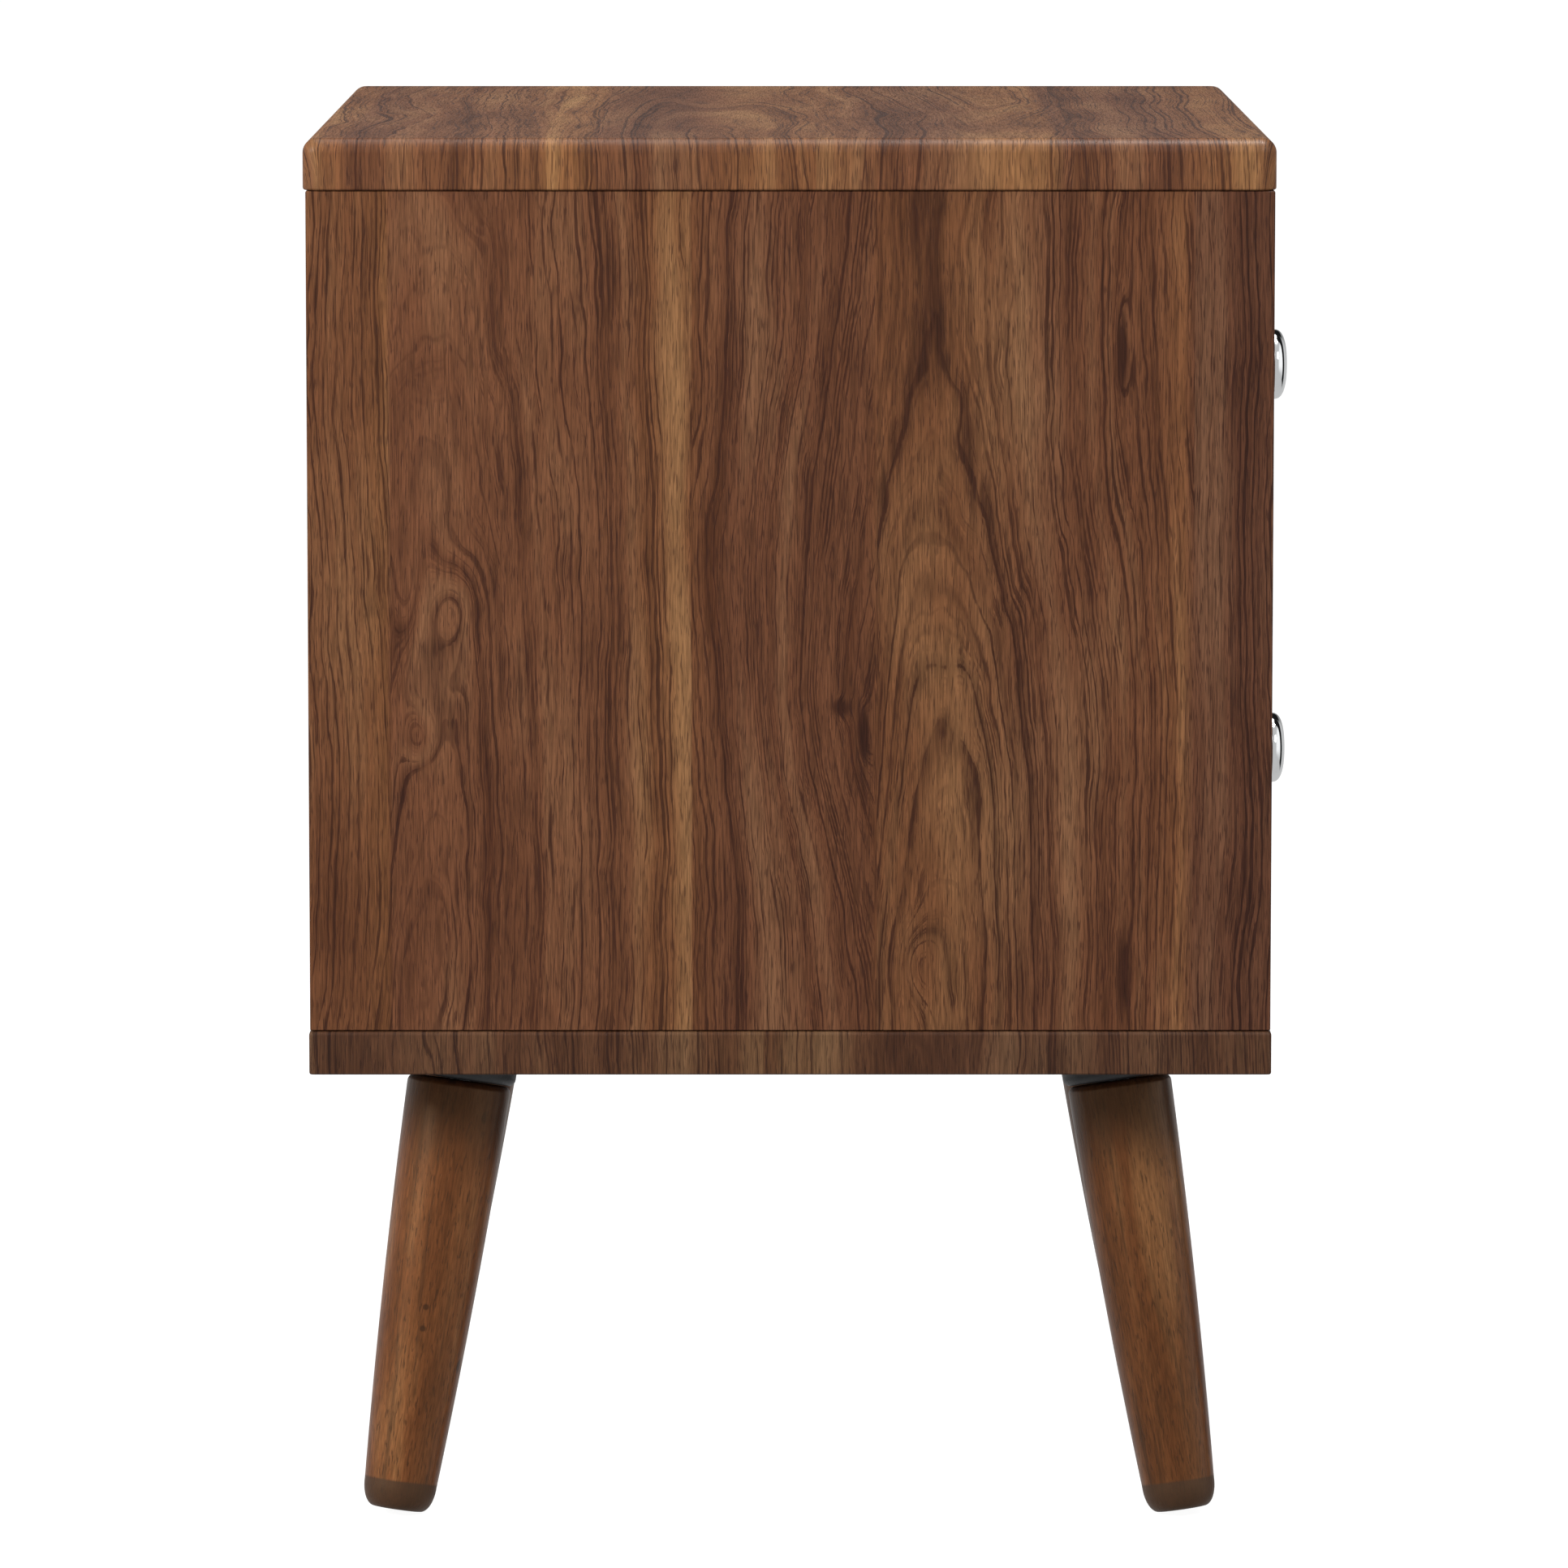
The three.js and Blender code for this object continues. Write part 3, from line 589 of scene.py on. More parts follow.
def lay_sheet(mesh, across, along, face, face_place, sheet, corner, from_high=False):
    """Gives a board its laminate's grain, which lies on the face and folds over its nearest edge. across,
    along and face are axes, sheet picks the piece of laminate, and corner is the radius of the corners."""
    low, high = extent(mesh)
    values = []
    for vertex in mesh.vertices:
        fold = abs(vertex.co[face] - face_place)
        sides = []
        for axis in (across, along):
            place = vertex.co[axis] - (low[axis] + high[axis]) / 2
            sides.append((place, abs(place) - (high[axis] - low[axis]) / 2 + corner * 1.01))
        outward = [math.copysign(max(beyond, 0.0), place) for place, beyond in sides]
        if not any(outward):
            nearest = max(range(2), key=lambda i: sides[i][1])
            outward[nearest] = math.copysign(1.0, sides[nearest][0])
        reach = math.hypot(*outward)
        spot = [
            vertex.co[axis] - low[axis] + fold * out / reach
            for axis, out in zip((across, along), outward, strict=True)
        ]
        if from_high:
            spot[0] = high[across] - low[across] - spot[0]
        values.extend((*spot, sheet))
    put_grain(mesh, values)


def lay_block(mesh, along, sheet):
    """Gives a solid piece its grain: along one axis, and the same right through."""
    others = [axis for axis in range(3) if axis != along]
    values = []
    for vertex in mesh.vertices:
        values.extend((vertex.co[others[0]] + sheet, vertex.co[along], vertex.co[others[1]] + sheet))
    put_grain(mesh, values)


def put_grain(mesh, values):
    attribute = mesh.attributes.new("grain", "FLOAT_VECTOR", "POINT")
    attribute.data.foreach_set("vector", values)


def place_piece(name, mesh, material, body, replaced=()):
    """Puts a piece in the scene on its body, with even shading on its flat faces."""
    piece = bpy.data.objects.new(name, mesh)
    bpy.context.scene.collection.objects.link(piece)
    mesh.materials.clear()
    mesh.materials.append(material)
    flat = piece.modifiers.new("even_flats", "WEIGHTED_NORMAL")
    flat.keep_sharp = True
    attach(piece, body)
    if replaced:
        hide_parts(*replaced)
    return piece


def body_of(node):
    return nodes[node]["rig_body"]


def finish_node(node, mesh, material):
    return place_piece(node + "_finished", mesh, material, body_of(node), [node])


# ---- case panels

SIDE_STRIPS = [
    Strip(33, -150, 40),
    Strip(123, 48, 12, 36, 420),
    Strip(75, 60, 60),
    Strip(129, 259, 6, 33, 300),
    Strip(33, 120, 60),
]
SIDE_TONES = [
    (0, (1.00, 0.98, 0.95)),
    (22, (1.05, 1.04, 0.98)),
    (32, (1.22, 1.26, 1.10)),
    (34, (1.02, 1.00, 1.04)),
    (110, (0.98, 0.97, 1.00)),
    (131, (0.97, 0.96, 0.97)),
    (138, (1.09, 1.10, 1.02)),
    (153, (1.14, 1.16, 1.05)),
    (159, (1.04, 1.03, 1.00)),
    (172, (0.88, 0.86, 0.92)),
    (228, (0.90, 0.88, 0.92)),
    (234, (1.06, 1.06, 1.00)),
    (262, (1.08, 1.10, 1.02)),
    (300, (0.90, 0.88, 0.92)),
    (345, (0.95, 0.92, 0.92)),
    (356, (1.20, 1.22, 1.12)),
    (361, (0.74, 0.72, 0.82)),
    (393, (0.68, 0.68, 0.80)),
]
SIDE_KNOTS = [
    Knot(2, 222, 112, 40, 58, 15),
    Knot(2, 205, 175, 70, 130, 15),
    Knot(2, 226, 122, 4, 15, 5, 0.95),
    Knot(2, 217, 133, 6, 5, 3, 0.8),
    Knot(3, 331, 277, 3.5, 26, 7, 0.9),
    Knot(3, 331, 25, 3.5, 24, 4, 0.75),
    Knot(3, 248, 27, 9, 17, -9),
    Knot(1, 40, 190, 5, 28, 8),
    Knot(1, 60, 172, 8, 15, -8),
    Knot(1, 46, 120, 7, 12, 8),
]
SIDE_ARCHES = [
    Arch(3, 38.0, 1.8, 0.75),
    Arch(3, 32.0, 1.2, 0.45),
    Arch(3, 23.5, 1.1, 0.65),
    Arch(3, 17.5, 1.3, 0.65),
    Arch(3, 6.5, 1.1, 0.6),
    Arch(1, 30.0, 1.0, 0.5),
    Arch(1, 22.0, 0.9, 0.5),
]
TOP_STRIPS = [
    Strip(98, -70, 45),
    Strip(20, -40, 70),
    Strip(90, 166, 9, 30, 460),
    Strip(104, 280, 34, -26, 420),
    Strip(83, 470, 35),
]
TOP_TONES = [
    (0, (1.16, 1.17, 1.08)),
    (15, (1.12, 1.12, 1.06)),
    (18, (0.84, 0.80, 0.84)),
    (28, (0.90, 0.88, 0.92)),
    (44, (1.02, 1.00, 1.00)),
    (76, (1.04, 1.04, 1.02)),
    (97, (1.14, 1.16, 1.08)),
    (99, (1.32, 1.40, 1.24)),
    (116, (1.28, 1.34, 1.20)),
    (119, (0.94, 0.92, 0.94)),
    (136, (0.78, 0.75, 0.80)),
    (152, (0.80, 0.78, 0.84)),
    (162, (1.00, 0.99, 1.00)),
    (178, (1.12, 1.14, 1.06)),
    (214, (1.10, 1.11, 1.04)),
    (226, (1.00, 0.99, 0.99)),
    (250, (0.84, 0.81, 0.86)),
    (262, (0.88, 0.86, 0.90)),
    (284, (1.16, 1.19, 1.08)),
    (304, (1.18, 1.21, 1.10)),
    (309, (0.80, 0.77, 0.84)),
    (316, (1.00, 0.99, 1.00)),
    (330, (0.86, 0.83, 0.88)),
    (352, (0.82, 0.79, 0.86)),
    (360, (1.02, 1.01, 1.00)),
    (378, (1.18, 1.21, 1.10)),
    (395, (1.20, 1.24, 1.14)),
]
TOP_KNOTS = [
    Knot(2, 164, 300, 12, 62, 16),
    Knot(2, 160, 305, 4, 20, 5, 0.5),
    Knot(3, 250, 200, 18, 60, 12),
    Knot(0, 40, 190, 14, 70, -12),
]
BOTTOM_STRIPS = [
    Strip(80, 30, 20, 40, 420),
    Strip(105, -60, 50),
    Strip(120, 250, 54, -40, 440),
    Strip(89, 470, 40),
]
BOTTOM_TONES = [
    (0, (0.80, 0.80, 0.84)),
    (120, (0.94, 0.93, 0.95)),
    (190, (0.98, 0.99, 0.95)),
    (260, (0.88, 0.87, 0.92)),
    (394, (0.80, 0.80, 0.85)),
]
FACE_STRIPS = [
    Strip(96, 40, 9, 30, 380),
    Strip(72, -60, 40),
    Strip(84, 205, 44, -34, 420),
    Strip(80, 420, 30),
]
FACE_TONES = [
    (0, (0.95, 0.94, 0.96)),
    (94, (1.16, 1.18, 1.08)),
    (98, (0.92, 0.90, 0.94)),
    (166, (1.00, 0.98, 0.98)),
    (240, (1.08, 1.08, 1.02)),
    (332, (0.92, 0.90, 0.95)),
]
FACE_KNOTS = [Knot(2, 215, 120, 9, 30, 10), Knot(0, 60, 330, 7, 22, -9)]

SOFT_EDGE = 1.0 * MM
SIDE_EDGE = 0.5 * MM
TOP_ROUND = 6 * MM
TOP_CORNER = 7 * MM
BOTTOM_ROUND = 1.8 * MM


def make_panels():
    """The top, sides, bottom and back of the case."""
    side = walnut("walnut_side", SIDE_STRIPS, SIDE_TONES, SIDE_KNOTS, SIDE_ARCHES, tone=(1.05, 0.98, 0.94))
    # The top is lightened by its tone: partly a lighter laminate, partly painted light falling from above.
    top = walnut("walnut_top", TOP_STRIPS, TOP_TONES, TOP_KNOTS, tone=(1.25, 1.19, 1.10), gloss=0.16)
    # The bottom is darkened by its tone as painted shade, low on the case where little light reaches.
    bottom = walnut("walnut_bottom_painted_shade", BOTTOM_STRIPS, BOTTOM_TONES, tone=(0.76, 0.76, 0.76), gloss=0.15)

    low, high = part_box("top_panel")
    mesh = rounded_slab(low, high, TOP_ROUND, SOFT_EDGE, TOP_CORNER, "top_panel_mesh")
    lay_sheet(mesh, Y, X, Z, high[Z], 1.0, TOP_CORNER, from_high=True)
    finish_node("top_panel", mesh, top)

    low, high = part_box("bottom_panel")
    mesh = rounded_slab(low, high, BOTTOM_ROUND, BOTTOM_ROUND / 2, BOTTOM_ROUND, "bottom_panel_mesh")
    lay_sheet(mesh, Y, X, Z, low[Z], 2.0, BOTTOM_ROUND, from_high=True)
    finish_node("bottom_panel", mesh, bottom)

    for hand, outer, sheet in (("left", 0, 3.0), ("right", 1, 4.0)):
        node = f"{hand}_side_panel"
        mesh = dressed(node, SIDE_EDGE)
        lay_sheet(mesh, Y, Z, X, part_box(node)[outer][X], sheet, SIDE_EDGE, from_high=True)
        finish_node(node, mesh, side)

    finish_node("back_panel", dressed("back_panel", 0.4 * MM), hardboard())


# ---- legs and mounts


def corner_facts(corner):
    """A leg's upper end, its downward axis and its length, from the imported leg's and bolt's vertices."""
    points = [vertex.co.copy() for vertex in nodes[f"{corner}_leg"].data.vertices]
    bolt = [vertex.co.copy() for vertex in nodes[f"{corner}_hanger_bolt"].data.vertices]
    centre = sum(bolt, Vector()) / len(bolt)
    upper = [p for p in bolt if p.z > centre.z]
    lower = [p for p in bolt if p.z < centre.z]
    axis = (sum(lower, Vector()) / len(lower) - sum(upper, Vector()) / len(upper)).normalized()
    reach = [(p - centre).dot(axis) for p in points]
    top = centre + axis * min(reach)
    return top, axis, max(reach) - min(reach)


LEG_TOP_RADIUS = 21.6 * MM
LEG_FOOT_RADIUS = 15.1 * MM
LEG_TOP_ROUND = 3 * MM
EVEN_TAPER = 0.36  # the share of the taper that is even; the rest grows towards the foot
FOOT_HEIGHT = 11 * MM
FOOT_FLAT_RADIUS = 9.7 * MM
LEG_TONES = (0.81, 0.95, 1.07, 1.0)  # in the order of the corners
FLECKS = ((85 * MM, 18.8 * MM), (76 * MM, 18.5 * MM))  # heights and distances from the leg's axis


def leg_profile(length):
    """Radius and height of the leg, from the middle of its foot to the middle of its upper end."""
    foot = []
    for angle in quarter_turn(12):
        radius = FOOT_FLAT_RADIUS + (LEG_FOOT_RADIUS - FOOT_FLAT_RADIUS) * math.sin(angle)
        foot.append((radius, FOOT_HEIGHT * (1 - math.cos(angle))))
    taper = []
    steps = 24
    for i in range(1, steps):
        share = 1 - i / steps
        narrowing = EVEN_TAPER * share + (1 - EVEN_TAPER) * share**2
        radius = LEG_TOP_RADIUS - (LEG_TOP_RADIUS - LEG_FOOT_RADIUS) * narrowing
        taper.append((radius, length - LEG_TOP_ROUND - share * (length - FOOT_HEIGHT - LEG_TOP_ROUND)))
    shoulder = []
    for angle in quarter_turn(6):
        radius = LEG_TOP_RADIUS - LEG_TOP_ROUND * (1 - math.cos(angle))
        shoulder.append((radius, length - LEG_TOP_ROUND * (1 - math.sin(angle))))
    flat = FOOT_FLAT_RADIUS - 1 * MM
    cap = shoulder[-1][0] - 1 * MM
    return [(0, 0), (flat, 0), *foot, *taper, *shoulder, (cap, length), (0, length)]


def frame_on(origin, up):
    """A matrix that puts a piece's axis along up, from origin."""
    turn = up.to_track_quat("Z", "Y").to_matrix().to_4x4()
    return Matrix.Translation(origin) @ turn


def leg_frame(corner):
    """A leg's frame, with its origin in the middle of the foot, and its length."""
    top, axis, length = corner_facts(corner)
    return frame_on(top + axis * length, -axis), length


def leg_grain(point, order):
    """The grain of a point in a leg's own frame, for the leg with this place in the order of the corners.
    Each leg is cut from another part of the wood."""
    return (point[X] + 0.37 * order, point[Z], point[Y] + 0.21 * order)


def leg_flecks():
    """The dark dots on the outer side of the rear left leg."""
    order = CORNERS.index("rear_left")
    place, _ = leg_frame("rear_left")
    outward = place.to_3x3().inverted() @ Vector((-1, 0, 0))
    outward.z = 0
    outward.normalize()
    return [leg_grain(outward * radius + Vector((0, 0, height)), order) for height, radius in FLECKS]


def make_legs():
    """Turned legs: the grain attribute is each leg's own frame, so that its streaks run down its length."""
    wood = leg_wood(leg_frame(CORNERS[0])[1], leg_flecks())
    for order, corner in enumerate(CORNERS):
        place, length = leg_frame(corner)
        mesh = turned(leg_profile(length), ROUND_SIDES, place, f"{corner}_leg_mesh")
        back = place.inverted()
        values = []
        for vertex in mesh.vertices:
            values.extend(leg_grain(back @ vertex.co, order))
        put_grain(mesh, values)
        tones = mesh.attributes.new("tone", "FLOAT", "POINT")
        tones.data.foreach_set("value", [LEG_TONES[order]] * len(mesh.vertices))
        finish_node(f"{corner}_leg", mesh, wood)


MOUNT_SCREW_HEAD = 2.2 * MM
MOUNT_SCREW_RADIUS = 1.9 * MM
MOUNT_RADIUS = 23 * MM
MOUNT_EDGE_ROUND = 3 * MM
FLANGE_RADIUS = 35 * MM
FLANGE_THICKNESS = 2.5 * MM
FLANGE_ROUND = 0.9 * MM
FILLET = 2.5 * MM
CONTACT_GAP = 0.3 * MM


def flange_profile():
    edge = [(FLANGE_RADIUS - inset, rise) for inset, rise in quarter(FLANGE_ROUND, 4)]
    upper = FLANGE_THICKNESS
    return [(0, 0), (FLANGE_RADIUS - 2 * MM, 0), *edge, (FLANGE_RADIUS, upper), (0, upper)]


def mount_mesh(corner):
    """A mount: a flange flat under the case, and a leaning boss that flares into it and ends square to the
    leg."""
    top, axis, _ = corner_facts(corner)
    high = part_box(f"{corner}_leg_mount")[1][Z]
    flange_low = high - FLANGE_THICKNESS
    up = -axis
    side = up.orthogonal().normalized()
    other = up.cross(side)
    end = top + up * CONTACT_GAP

    def ring(radius, rise):
        points = []
        for i in range(ROUND_SIDES):
            angle = 2 * math.pi * i / ROUND_SIDES
            around = side * math.cos(angle) + other * math.sin(angle)
            points.append(end + around * radius + up * rise)
        return points

    def landed(radius, height):
        """A ring carried along the boss's axis to a level height."""
        return [p + up * ((height - p.z) / up.z) for p in ring(radius, 0.0)]

    rounding = quarter(MOUNT_EDGE_ROUND, 6)
    rings = [ring(MOUNT_RADIUS - MOUNT_EDGE_ROUND - 1 * MM, 0.0)]
    rings += [ring(MOUNT_RADIUS - inset, rise) for inset, rise in rounding]
    for angle in quarter_turn(6):
        flare = FILLET * (1 - math.cos(angle))
        drop = FILLET * (1 - math.sin(angle))
        raised = landed(MOUNT_RADIUS + flare, flange_low - drop)
        floor = ring(MOUNT_RADIUS + flare, MOUNT_EDGE_ROUND)
        rings.append([a if a.z > b.z else b for a, b in zip(raised, floor, strict=True)])
    rings.append(landed(MOUNT_RADIUS, flange_low + 0.5 * FLANGE_THICKNESS))
    boss = lofted(rings, "boss")

    flange = turned(flange_profile(), ROUND_SIDES, Matrix.Translation((top.x, top.y, flange_low)), "flange")
    form = bmesh.new()
    form.from_mesh(boss)
    form.from_mesh(flange)
    bpy.data.meshes.remove(boss)
    bpy.data.meshes.remove(flange)
    return mesh_of(form, f"{corner}_leg_mount_mesh")


def cross_cut(mesh, centre, up, width, slot, depth):
    """Cuts a cross recess, which narrows towards its bottom, into a screw's head."""
    cutter = bmesh.new()
    place = frame_on(centre, up)
    for turn in range(2):
        turned_place = place @ Matrix.Rotation(math.pi / 2 * turn, 4, "Z")
        corners = []
        for height, spread in ((0.3 * MM, 1.0), (-depth, 0.45)):
            for sx, sy in ((-1, -1), (1, -1), (1, 1), (-1, 1)):
                point = Vector((sx * width / 2 * spread, sy * slot / 2, height))
                corners.append(cutter.verts.new(turned_place @ point))
        upper, lower = corners[:4], corners[4:]
        cutter.faces.new(upper)
        cutter.faces.new(list(reversed(lower)))
        for i in range(4):
            after = (i + 1) % 4
            cutter.faces.new((upper[i], lower[i], lower[after], upper[after]))
    cutter_mesh = mesh_of(cutter, "cutter")
    tool = bpy.data.objects.new("cutter", cutter_mesh)
    piece = bpy.data.objects.new("uncut", mesh)
    for made in (tool, piece):
        bpy.context.scene.collection.objects.link(made)
    cut = piece.modifiers.new("recess", "BOOLEAN")
    cut.operation = "DIFFERENCE"
    cut.solver = "EXACT"
    cut.use_self = True
    cut.object = tool
    shape = bpy.data.meshes.new_from_object(piece.evaluated_get(bpy.context.evaluated_depsgraph_get()))
    for made in (tool, piece):
        bpy.data.objects.remove(made)
    bpy.data.meshes.remove(cutter_mesh)
    return shape


cut_screws = {}


def screw_mesh(centre, up, sizes, name):
    """A round-headed screw: centre is under its head, up points out of the surface, and sizes are its head's
    radius and height and its shank's radius and length."""
    head_radius, head_height, shank_radius, shank = sizes
    kind = (head_radius, head_height, shank_radius, round(shank / MM, 2))
    if kind not in cut_screws:
        dome = []
        for angle in quarter_turn(8):
            lift = head_height * (0.25 + 0.75 * math.sin(angle))
            dome.append((head_radius * math.cos(angle) ** 0.8, lift))
        dome[-1] = (0, head_height)
        point = (shank_radius, -shank + min(2 * shank_radius, shank / 2))
        profile = [(0, -shank), point, (shank_radius, 0), (head_radius, 0), *dome]
        blank = turned(profile, 32, Matrix.Identity(4), "screw_blank")
        top, above = Vector((0, 0, head_height)), Vector((0, 0, 1))
        width, slot, depth = 1.15 * head_radius, 0.26 * head_radius, 0.6 * head_height
        cut_screws[kind] = cross_cut(blank, top, above, width, slot, depth)
    mesh = cut_screws[kind].copy()
    mesh.name = name
    mesh.transform(frame_on(centre, up))
    return mesh


def make_mounts(steel, black):
    for corner in CORNERS:
        finish_node(f"{corner}_leg_mount", mount_mesh(corner), black)
        for i in range(3):
            node = f"{corner}_mount_screw_{i + 1}"
            low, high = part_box(node)
            x, y, _ = middle(low, high)
            seat = Vector((x, y, low[Z] + MOUNT_SCREW_HEAD))
            sizes = ((high[X] - low[X]) / 2, MOUNT_SCREW_HEAD, MOUNT_SCREW_RADIUS, high[Z] - seat.z)
            mesh = screw_mesh(seat, Vector((0, 0, -1)), sizes, node)
            finish_node(node, mesh, steel)
        nodes[f"{corner}_hanger_bolt"].data.materials[0] = steel


# ---- drawers


KNOB_LENGTH = 19 * MM
KNOB_RADIUS = 15 * MM
KNOB_DOME = 5.6 * MM
KNOB_ROUNDNESS = 2 / 2.6  # of the dome: 1 is an ellipse, and less is squarer
KNOB_UNDERCUT = 3.6 * MM
KNOB_NECK = 6 * MM
KNOB_NECK_LOW = 4.4 * MM
KNOB_NECK_FLARE = 2.4 * MM
KNOB_BASE = 8 * MM
KNOB_BASE_EDGE = 0.8 * MM
KNOB_BASE_ROUND = 0.6 * MM

KNOB_SCREW = (4 * MM, 2.5 * MM, 1.85 * MM)  # head radius, head height, shank radius
BOX_WALLS = (("left_side", Y), ("right_side", Y), ("box_front", X), ("box_back", X))


def knob_profile():
    """Radius and height of the knob, from the drawer's face outwards."""
    rim = KNOB_LENGTH - KNOB_DOME
    neck_high = rim - KNOB_UNDERCUT - KNOB_NECK_FLARE
    points = [(0, 0), (KNOB_BASE - 1 * MM, 0)]
    points += [(KNOB_BASE - inset, rise) for inset, rise in quarter(KNOB_BASE_ROUND, 4)]
    steps = 10
    shares = [i / steps for i in range(1, steps + 1)]
    for share in shares:
        ease = share * share * (3 - 2 * share)
        rise = KNOB_BASE_EDGE + share * (KNOB_NECK_LOW - KNOB_BASE_EDGE)
        points.append((KNOB_BASE + (KNOB_NECK - KNOB_BASE) * ease, rise))
    points += [(KNOB_NECK, KNOB_NECK_LOW + share * (neck_high - KNOB_NECK_LOW)) for share in shares]
    for angle in quarter_turn(20)[1:]:
        spread = KNOB_NECK + (KNOB_RADIUS - KNOB_NECK) * math.sin(angle)
        flare = KNOB_NECK_FLARE * (1 - angle / (math.pi / 2)) ** 2
        points.append((spread, rim - KNOB_UNDERCUT * math.cos(angle) - flare))
    for angle in quarter_turn(26)[1:-1]:
        spread = KNOB_RADIUS * math.cos(angle) ** KNOB_ROUNDNESS
        points.append((spread, rim + KNOB_DOME * math.sin(angle) ** KNOB_ROUNDNESS))
    points.append((0, KNOB_LENGTH))
    return points


def make_drawers(steel, bright):
    """Both drawers, each with its face, box, knob and knob screw."""
    face = walnut("walnut_face", FACE_STRIPS, FACE_TONES, FACE_KNOTS)
    birch = pale_wood("birch", (0.72, 0.53, 0.33), (0.56, 0.37, 0.20))
    plywood = pale_wood("plywood", (0.66, 0.47, 0.28), (0.50, 0.33, 0.18), layered=True)
    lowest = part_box("lower_drawer_face")[0][Z]
    for order, place in enumerate(PLACES):
        node = f"{place}_drawer_face"
        low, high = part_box(node)
        mesh = rounded_slab_upright(low, high, SOFT_EDGE, node)
        lay_sheet(mesh, Z, X, Y, low[Y], 5.0, SOFT_EDGE)
        raise_grain(mesh, low[Z] - lowest)
        finish_node(node, mesh, face)

        for index, (part, along) in enumerate(BOX_WALLS):
            node = f"{place}_drawer_{part}"
            mesh = dressed(node, 0.7 * MM)
            lay_block(mesh, along, 0.31 * index + 1.7 * order)
            finish_node(node, mesh, birch)
        node = f"{place}_drawer_bottom"
        mesh = dressed(node, 0.3 * MM)
        lay_block(mesh, X, 0.9 * order)
        finish_node(node, mesh, plywood)

        node = f"{place}_knob"
        low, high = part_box(node)
        x, _, z = middle(low, high)
        seat = Vector((x, high[Y], z))
        mesh = turned(knob_profile(), ROUND_SIDES, frame_on(seat, Vector((0, -1, 0))), node + "_mesh")
        finish_node(node, mesh, bright)

        node = f"{place}_knob_screw"
        low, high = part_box(node)
        x, _, z = middle(low, high)
        seat = Vector((x, high[Y] - KNOB_SCREW[1], z))
        mesh = screw_mesh(seat, Vector((0, 1, 0)), (*KNOB_SCREW, seat.y - low[Y]), node)
        finish_node(node, mesh, steel)


def rounded_slab_upright(low, high, radius, name):
    """A board standing on edge in the X-Z plane, softly rounded all round."""
    flat_low = (low[X], low[Z], -high[Y])
    flat_high = (high[X], high[Z], -low[Y])
    mesh = rounded_slab(flat_low, flat_high, radius, radius / 2, radius, name + "_mesh")
    mesh.transform(Matrix(((1, 0, 0, 0), (0, 0, -1, 0), (0, 1, 0, 0), (0, 0, 0, 1))))
    return mesh


def raise_grain(mesh, rise):
    """Moves a board's grain across the sheet, so that two boards are cut from one sheet."""
    for item in mesh.attributes["grain"].data:
        item.vector[0] += rise


# ---- slides


BALL_COUNT = 11  # in each row
BALL_RADIUS = 2.4 * MM
BALL_EDGE = 0.45 * MM  # from the cage's edge to the middle of a ball
BALL_END = 4 * MM  # from the cage's end to the middle of the last ball
SLIDE_SCREW = (3.4 * MM, 1.6 * MM, 1.4 * MM, 1.0 * MM)  # head radius and height, shank radius and length
SLIDE_SCREW_SHARES = (0.12, 0.55, 0.90)  # of the length of the drawer's member
SLIDE_STEEL = 1.2 * MM
FACE_SCREW = (4 * MM, 1.6 * MM, 1.7 * MM, 8 * MM)
FACE_SCREW_X = 150 * MM
FACE_SCREW_Z = 32 * MM


def balls_mesh(centres, name):
    form = bmesh.new()
    for centre in centres:
        place = Matrix.Translation(centre)
        bmesh.ops.create_icosphere(form, subdivisions=3, radius=BALL_RADIUS, matrix=place)
    return mesh_of(form, name)


def make_slides(steel, bright):
    """The slides' steel and their balls."""
    for place in PLACES:
        for hand in HANDS:
            for member in ("case_member", "drawer_member", "ball_cage"):
                node = f"{place}_{hand}_slide_{member}"
                finish_node(node, dressed(node, 0.2 * MM), steel)
            node = f"{place}_{hand}_slide_ball_cage"
            low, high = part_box(node)
            x = middle(low, high)[X]
            pitch = (high[Y] - low[Y] - 2 * BALL_END) / (BALL_COUNT - 1)
            rows = [low[Y] + BALL_END + i * pitch for i in range(BALL_COUNT)]
            edges = (low[Z] + BALL_EDGE, high[Z] - BALL_EDGE)
            centres = [(x, y, z) for z in edges for y in rows]
            balls = balls_mesh(centres, f"{node}_balls_mesh")
            place_piece(f"{place}_{hand}_slide_balls", balls, bright, body_of(node))


def make_screws(steel):
    """The screws that hold the slides to the drawers, and the drawer faces to their boxes."""
    for place in PLACES:
        for hand, inward in (("left", 1), ("right", -1)):
            node = f"{place}_{hand}_slide_drawer_member"
            low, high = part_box(node)
            web = (high[X] if inward > 0 else low[X]) - inward * SLIDE_STEEL
            z = middle(low, high)[Z]
            for i, share in enumerate(SLIDE_SCREW_SHARES):
                seat = Vector((web, low[Y] + share * (high[Y] - low[Y]), z))
                name = f"{place}_{hand}_slide_drawer_screw_{i + 1}"
                mesh = screw_mesh(seat, Vector((-inward, 0, 0)), SLIDE_SCREW, name)
                place_piece(name, mesh, steel, body_of(node))
        low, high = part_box(f"{place}_drawer_box_front")
        z = middle(low, high)[Z]
        spots = [(side * FACE_SCREW_X, z + lift * FACE_SCREW_Z) for side in (-1, 1) for lift in (-1, 1)]
        for i, (x, height) in enumerate(spots):
            name = f"{place}_face_screw_{i + 1}"
            mesh = screw_mesh(Vector((x, high[Y], height)), Vector((0, 1, 0)), FACE_SCREW, name)
            place_piece(name, mesh, steel, f"{place}_drawer")


# ---- stage


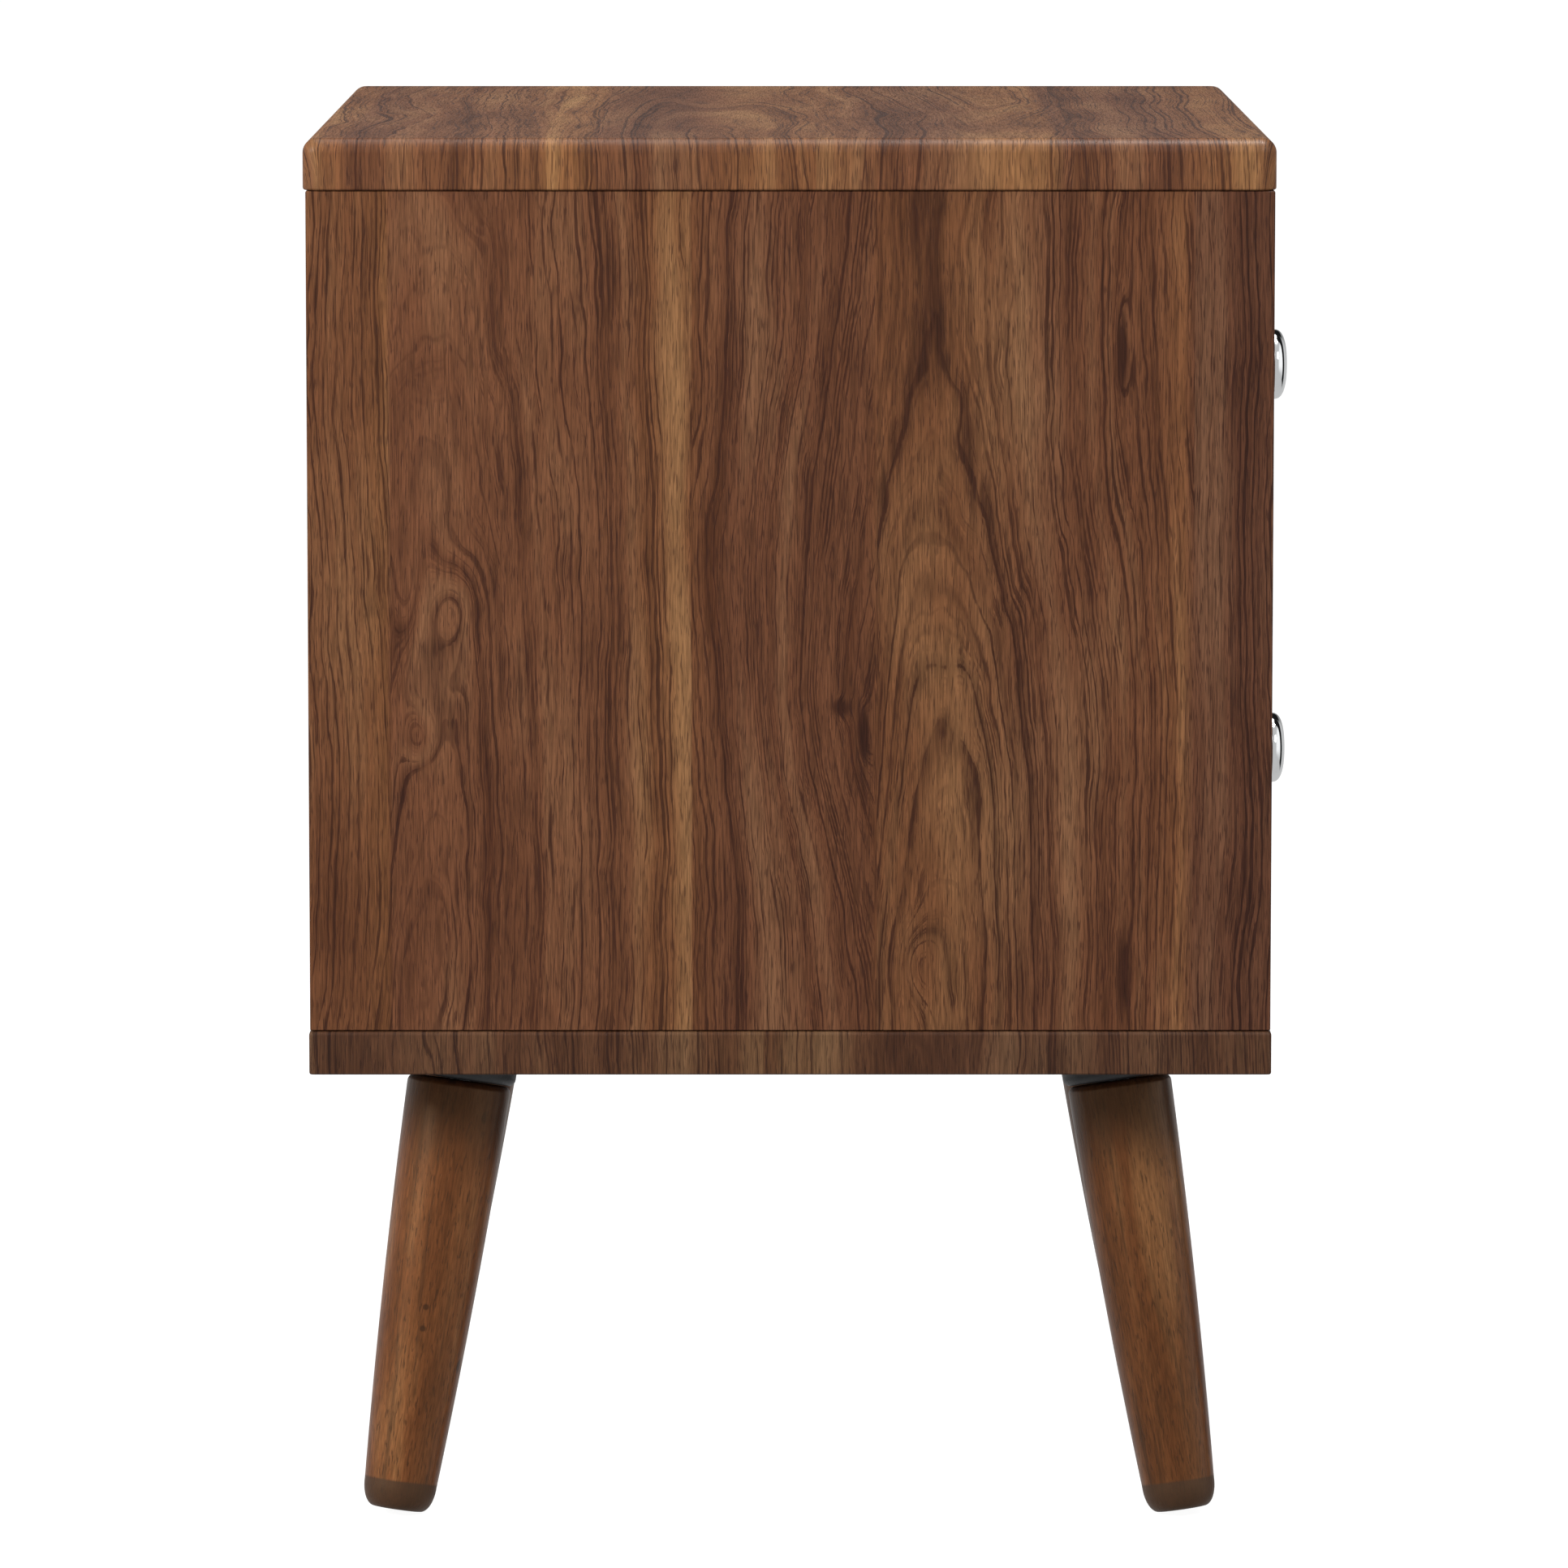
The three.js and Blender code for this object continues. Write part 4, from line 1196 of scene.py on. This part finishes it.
FLOOR_REACH = 40.0
FLOOR_GREY = (0.25, 0.25, 0.25)
FLOOR_GLOW = 0.95
WHITE = (1.0, 1.0, 1.0)
ROOM_LIGHT = (0.36, 0.36, 0.36)  # what lights the wood, and below it what the chrome and gloss show
ROOM_SHOWN = (0.58, 0.58, 0.58)
SCREEN_SHOWN = (1.1, 1.1, 1.1)
DUSK_SHOWN = (0.33, 0.33, 0.33)
FLAG_SHOWN = (0.01, 0.01, 0.01)
LAMPS = (  # name, place, size and power
    ("key_lamp", (-2.2, -1.5, 2.0), 1.2, 37.5),
    ("fill_lamp", (-1.6, 2.2, 1.5), 1.2, 60.0),
    ("top_lamp", (0.6, 0.2, 2.8), 1.8, 22.0),
    ("edge_lamp", (-0.15, -0.60, 2.5), 0.5, 60.0),
)
GLOSS_ONLY_LAMP = "edge_lamp"

CAMERA_DISTANCE = 4.1
CAMERA_ASIDE = 3 * MM
CAMERA_HEIGHT = 0.7706
CAMERA_DOWN = math.radians(6.81)
CAMERA_YAW = math.radians(0.011)
CAMERA_LENS = 219.1
CAMERA_SENSOR = 36


def make_stage():
    """A white floor that runs into the white all round, the room around it, and the lamps."""
    tree = new_tree("floor_paper")
    seen = tree.node("LightPath").outputs["Is Camera Ray"]
    paper = tree.finish(
        Base_Color=FLOOR_GREY,
        Roughness=0.9,
        Specular_IOR_Level=0.0,
        Emission_Color=WHITE,
        Emission_Strength=tree.times(seen, FLOOR_GLOW),
    )
    form = bmesh.new()
    bmesh.ops.create_grid(form, x_segments=1, y_segments=1, size=FLOOR_REACH)
    floor = bpy.data.objects.new("floor", mesh_of(form, "floor_mesh"))
    floor.data.materials.append(paper)
    bpy.context.scene.collection.objects.link(floor)
    floor.visible_glossy = False

    world = bpy.data.worlds.new("studio")
    bpy.context.scene.world = world
    sky = Tree(world)
    direction = sky.node("TexCoord").outputs["Generated"]

    def toward(x, y, z):
        return sky.node("VectorMath", {0: direction, 1: (x, y, z)}, operation="DOT_PRODUCT").outputs["Value"]

    # What the chrome and the gloss show, with no floor in it: a pale room, a white screen before the front,
    # the dusk behind the object, darker higher up, and a tall black flag at the screen's far side.
    above = toward(0.0, 0.0, 1.0)
    screen = sky.times(sky.rise(toward(-0.10, -0.99, 0.0), 0.55, 0.85), sky.rise(above, -0.45, 0.0))
    shown = sky.mix(screen, ROOM_SHOWN, SCREEN_SHOWN)
    dusk = sky.mix(sky.rise(above, 0.15, 0.40), DUSK_SHOWN, FLAG_SHOWN)
    shown = sky.mix(sky.rise(toward(0.85, 0.0, 0.53), 0.74, 0.84), shown, dusk)
    beside = sky.rise(sky.math("ABSOLUTE", toward(0.87, 0.50, 0.0)), 0.20, 0.26, 1.0, 0.0)
    flag = sky.times(beside, sky.rise(toward(0.50, -0.87, 0.0), 0.10, 0.20))
    flag = sky.times(flag, sky.rise(above, -0.50, -0.35))
    shown = sky.mix(flag, shown, FLAG_SHOWN)
    rays = sky.node("LightPath").outputs
    lit = sky.mix(rays["Is Glossy Ray"], ROOM_LIGHT, shown)
    background = sky.tree.nodes["Background"]
    sky.put(background.inputs["Color"], sky.mix(rays["Is Camera Ray"], lit, WHITE))

    aim = (cad_low + cad_high) / 2
    for name, place, size, power in LAMPS:
        light = bpy.data.lights.new(name, "AREA")
        light.shape = "DISK"
        light.size = size
        light.energy = power
        lamp = bpy.data.objects.new(name, light)
        lamp.location = place
        lamp.rotation_mode = "QUATERNION"
        lamp.rotation_quaternion = (aim - Vector(place)).to_track_quat("-Z", "Y")
        lamp.visible_diffuse = name != GLOSS_ONLY_LAMP
        bpy.context.scene.collection.objects.link(lamp)
    bpy.context.scene.view_settings.view_transform = "Standard"


def make_camera():
    """The camera stands square to the left side, higher than the top panel, and looks slightly down."""
    top_middle_y = middle(*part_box("top_panel"))[Y]
    camera = bpy.data.cameras.new("camera")
    camera.sensor_width = CAMERA_SENSOR
    camera.lens = CAMERA_LENS
    camera.clip_end = 5 * FLOOR_REACH
    holder = bpy.data.objects.new("camera", camera)
    holder.location = (-CAMERA_DISTANCE, top_middle_y + CAMERA_ASIDE, CAMERA_HEIGHT)
    level = math.cos(CAMERA_DOWN)
    look = Vector((level * math.cos(CAMERA_YAW), -level * math.sin(CAMERA_YAW), -math.sin(CAMERA_DOWN)))
    holder.rotation_mode = "QUATERNION"
    holder.rotation_quaternion = look.to_track_quat("-Z", "Y")
    bpy.context.scene.collection.objects.link(holder)
    bpy.context.scene.camera = holder


# ---- the whole

steel_look = zinc_steel()
chrome_look = chrome()
make_camera()
make_stage()
make_panels()
make_legs()
make_mounts(steel_look, black_powder_coat())
make_drawers(steel_look, chrome_look)
make_slides(steel_look, chrome_look)
make_screws(steel_look)
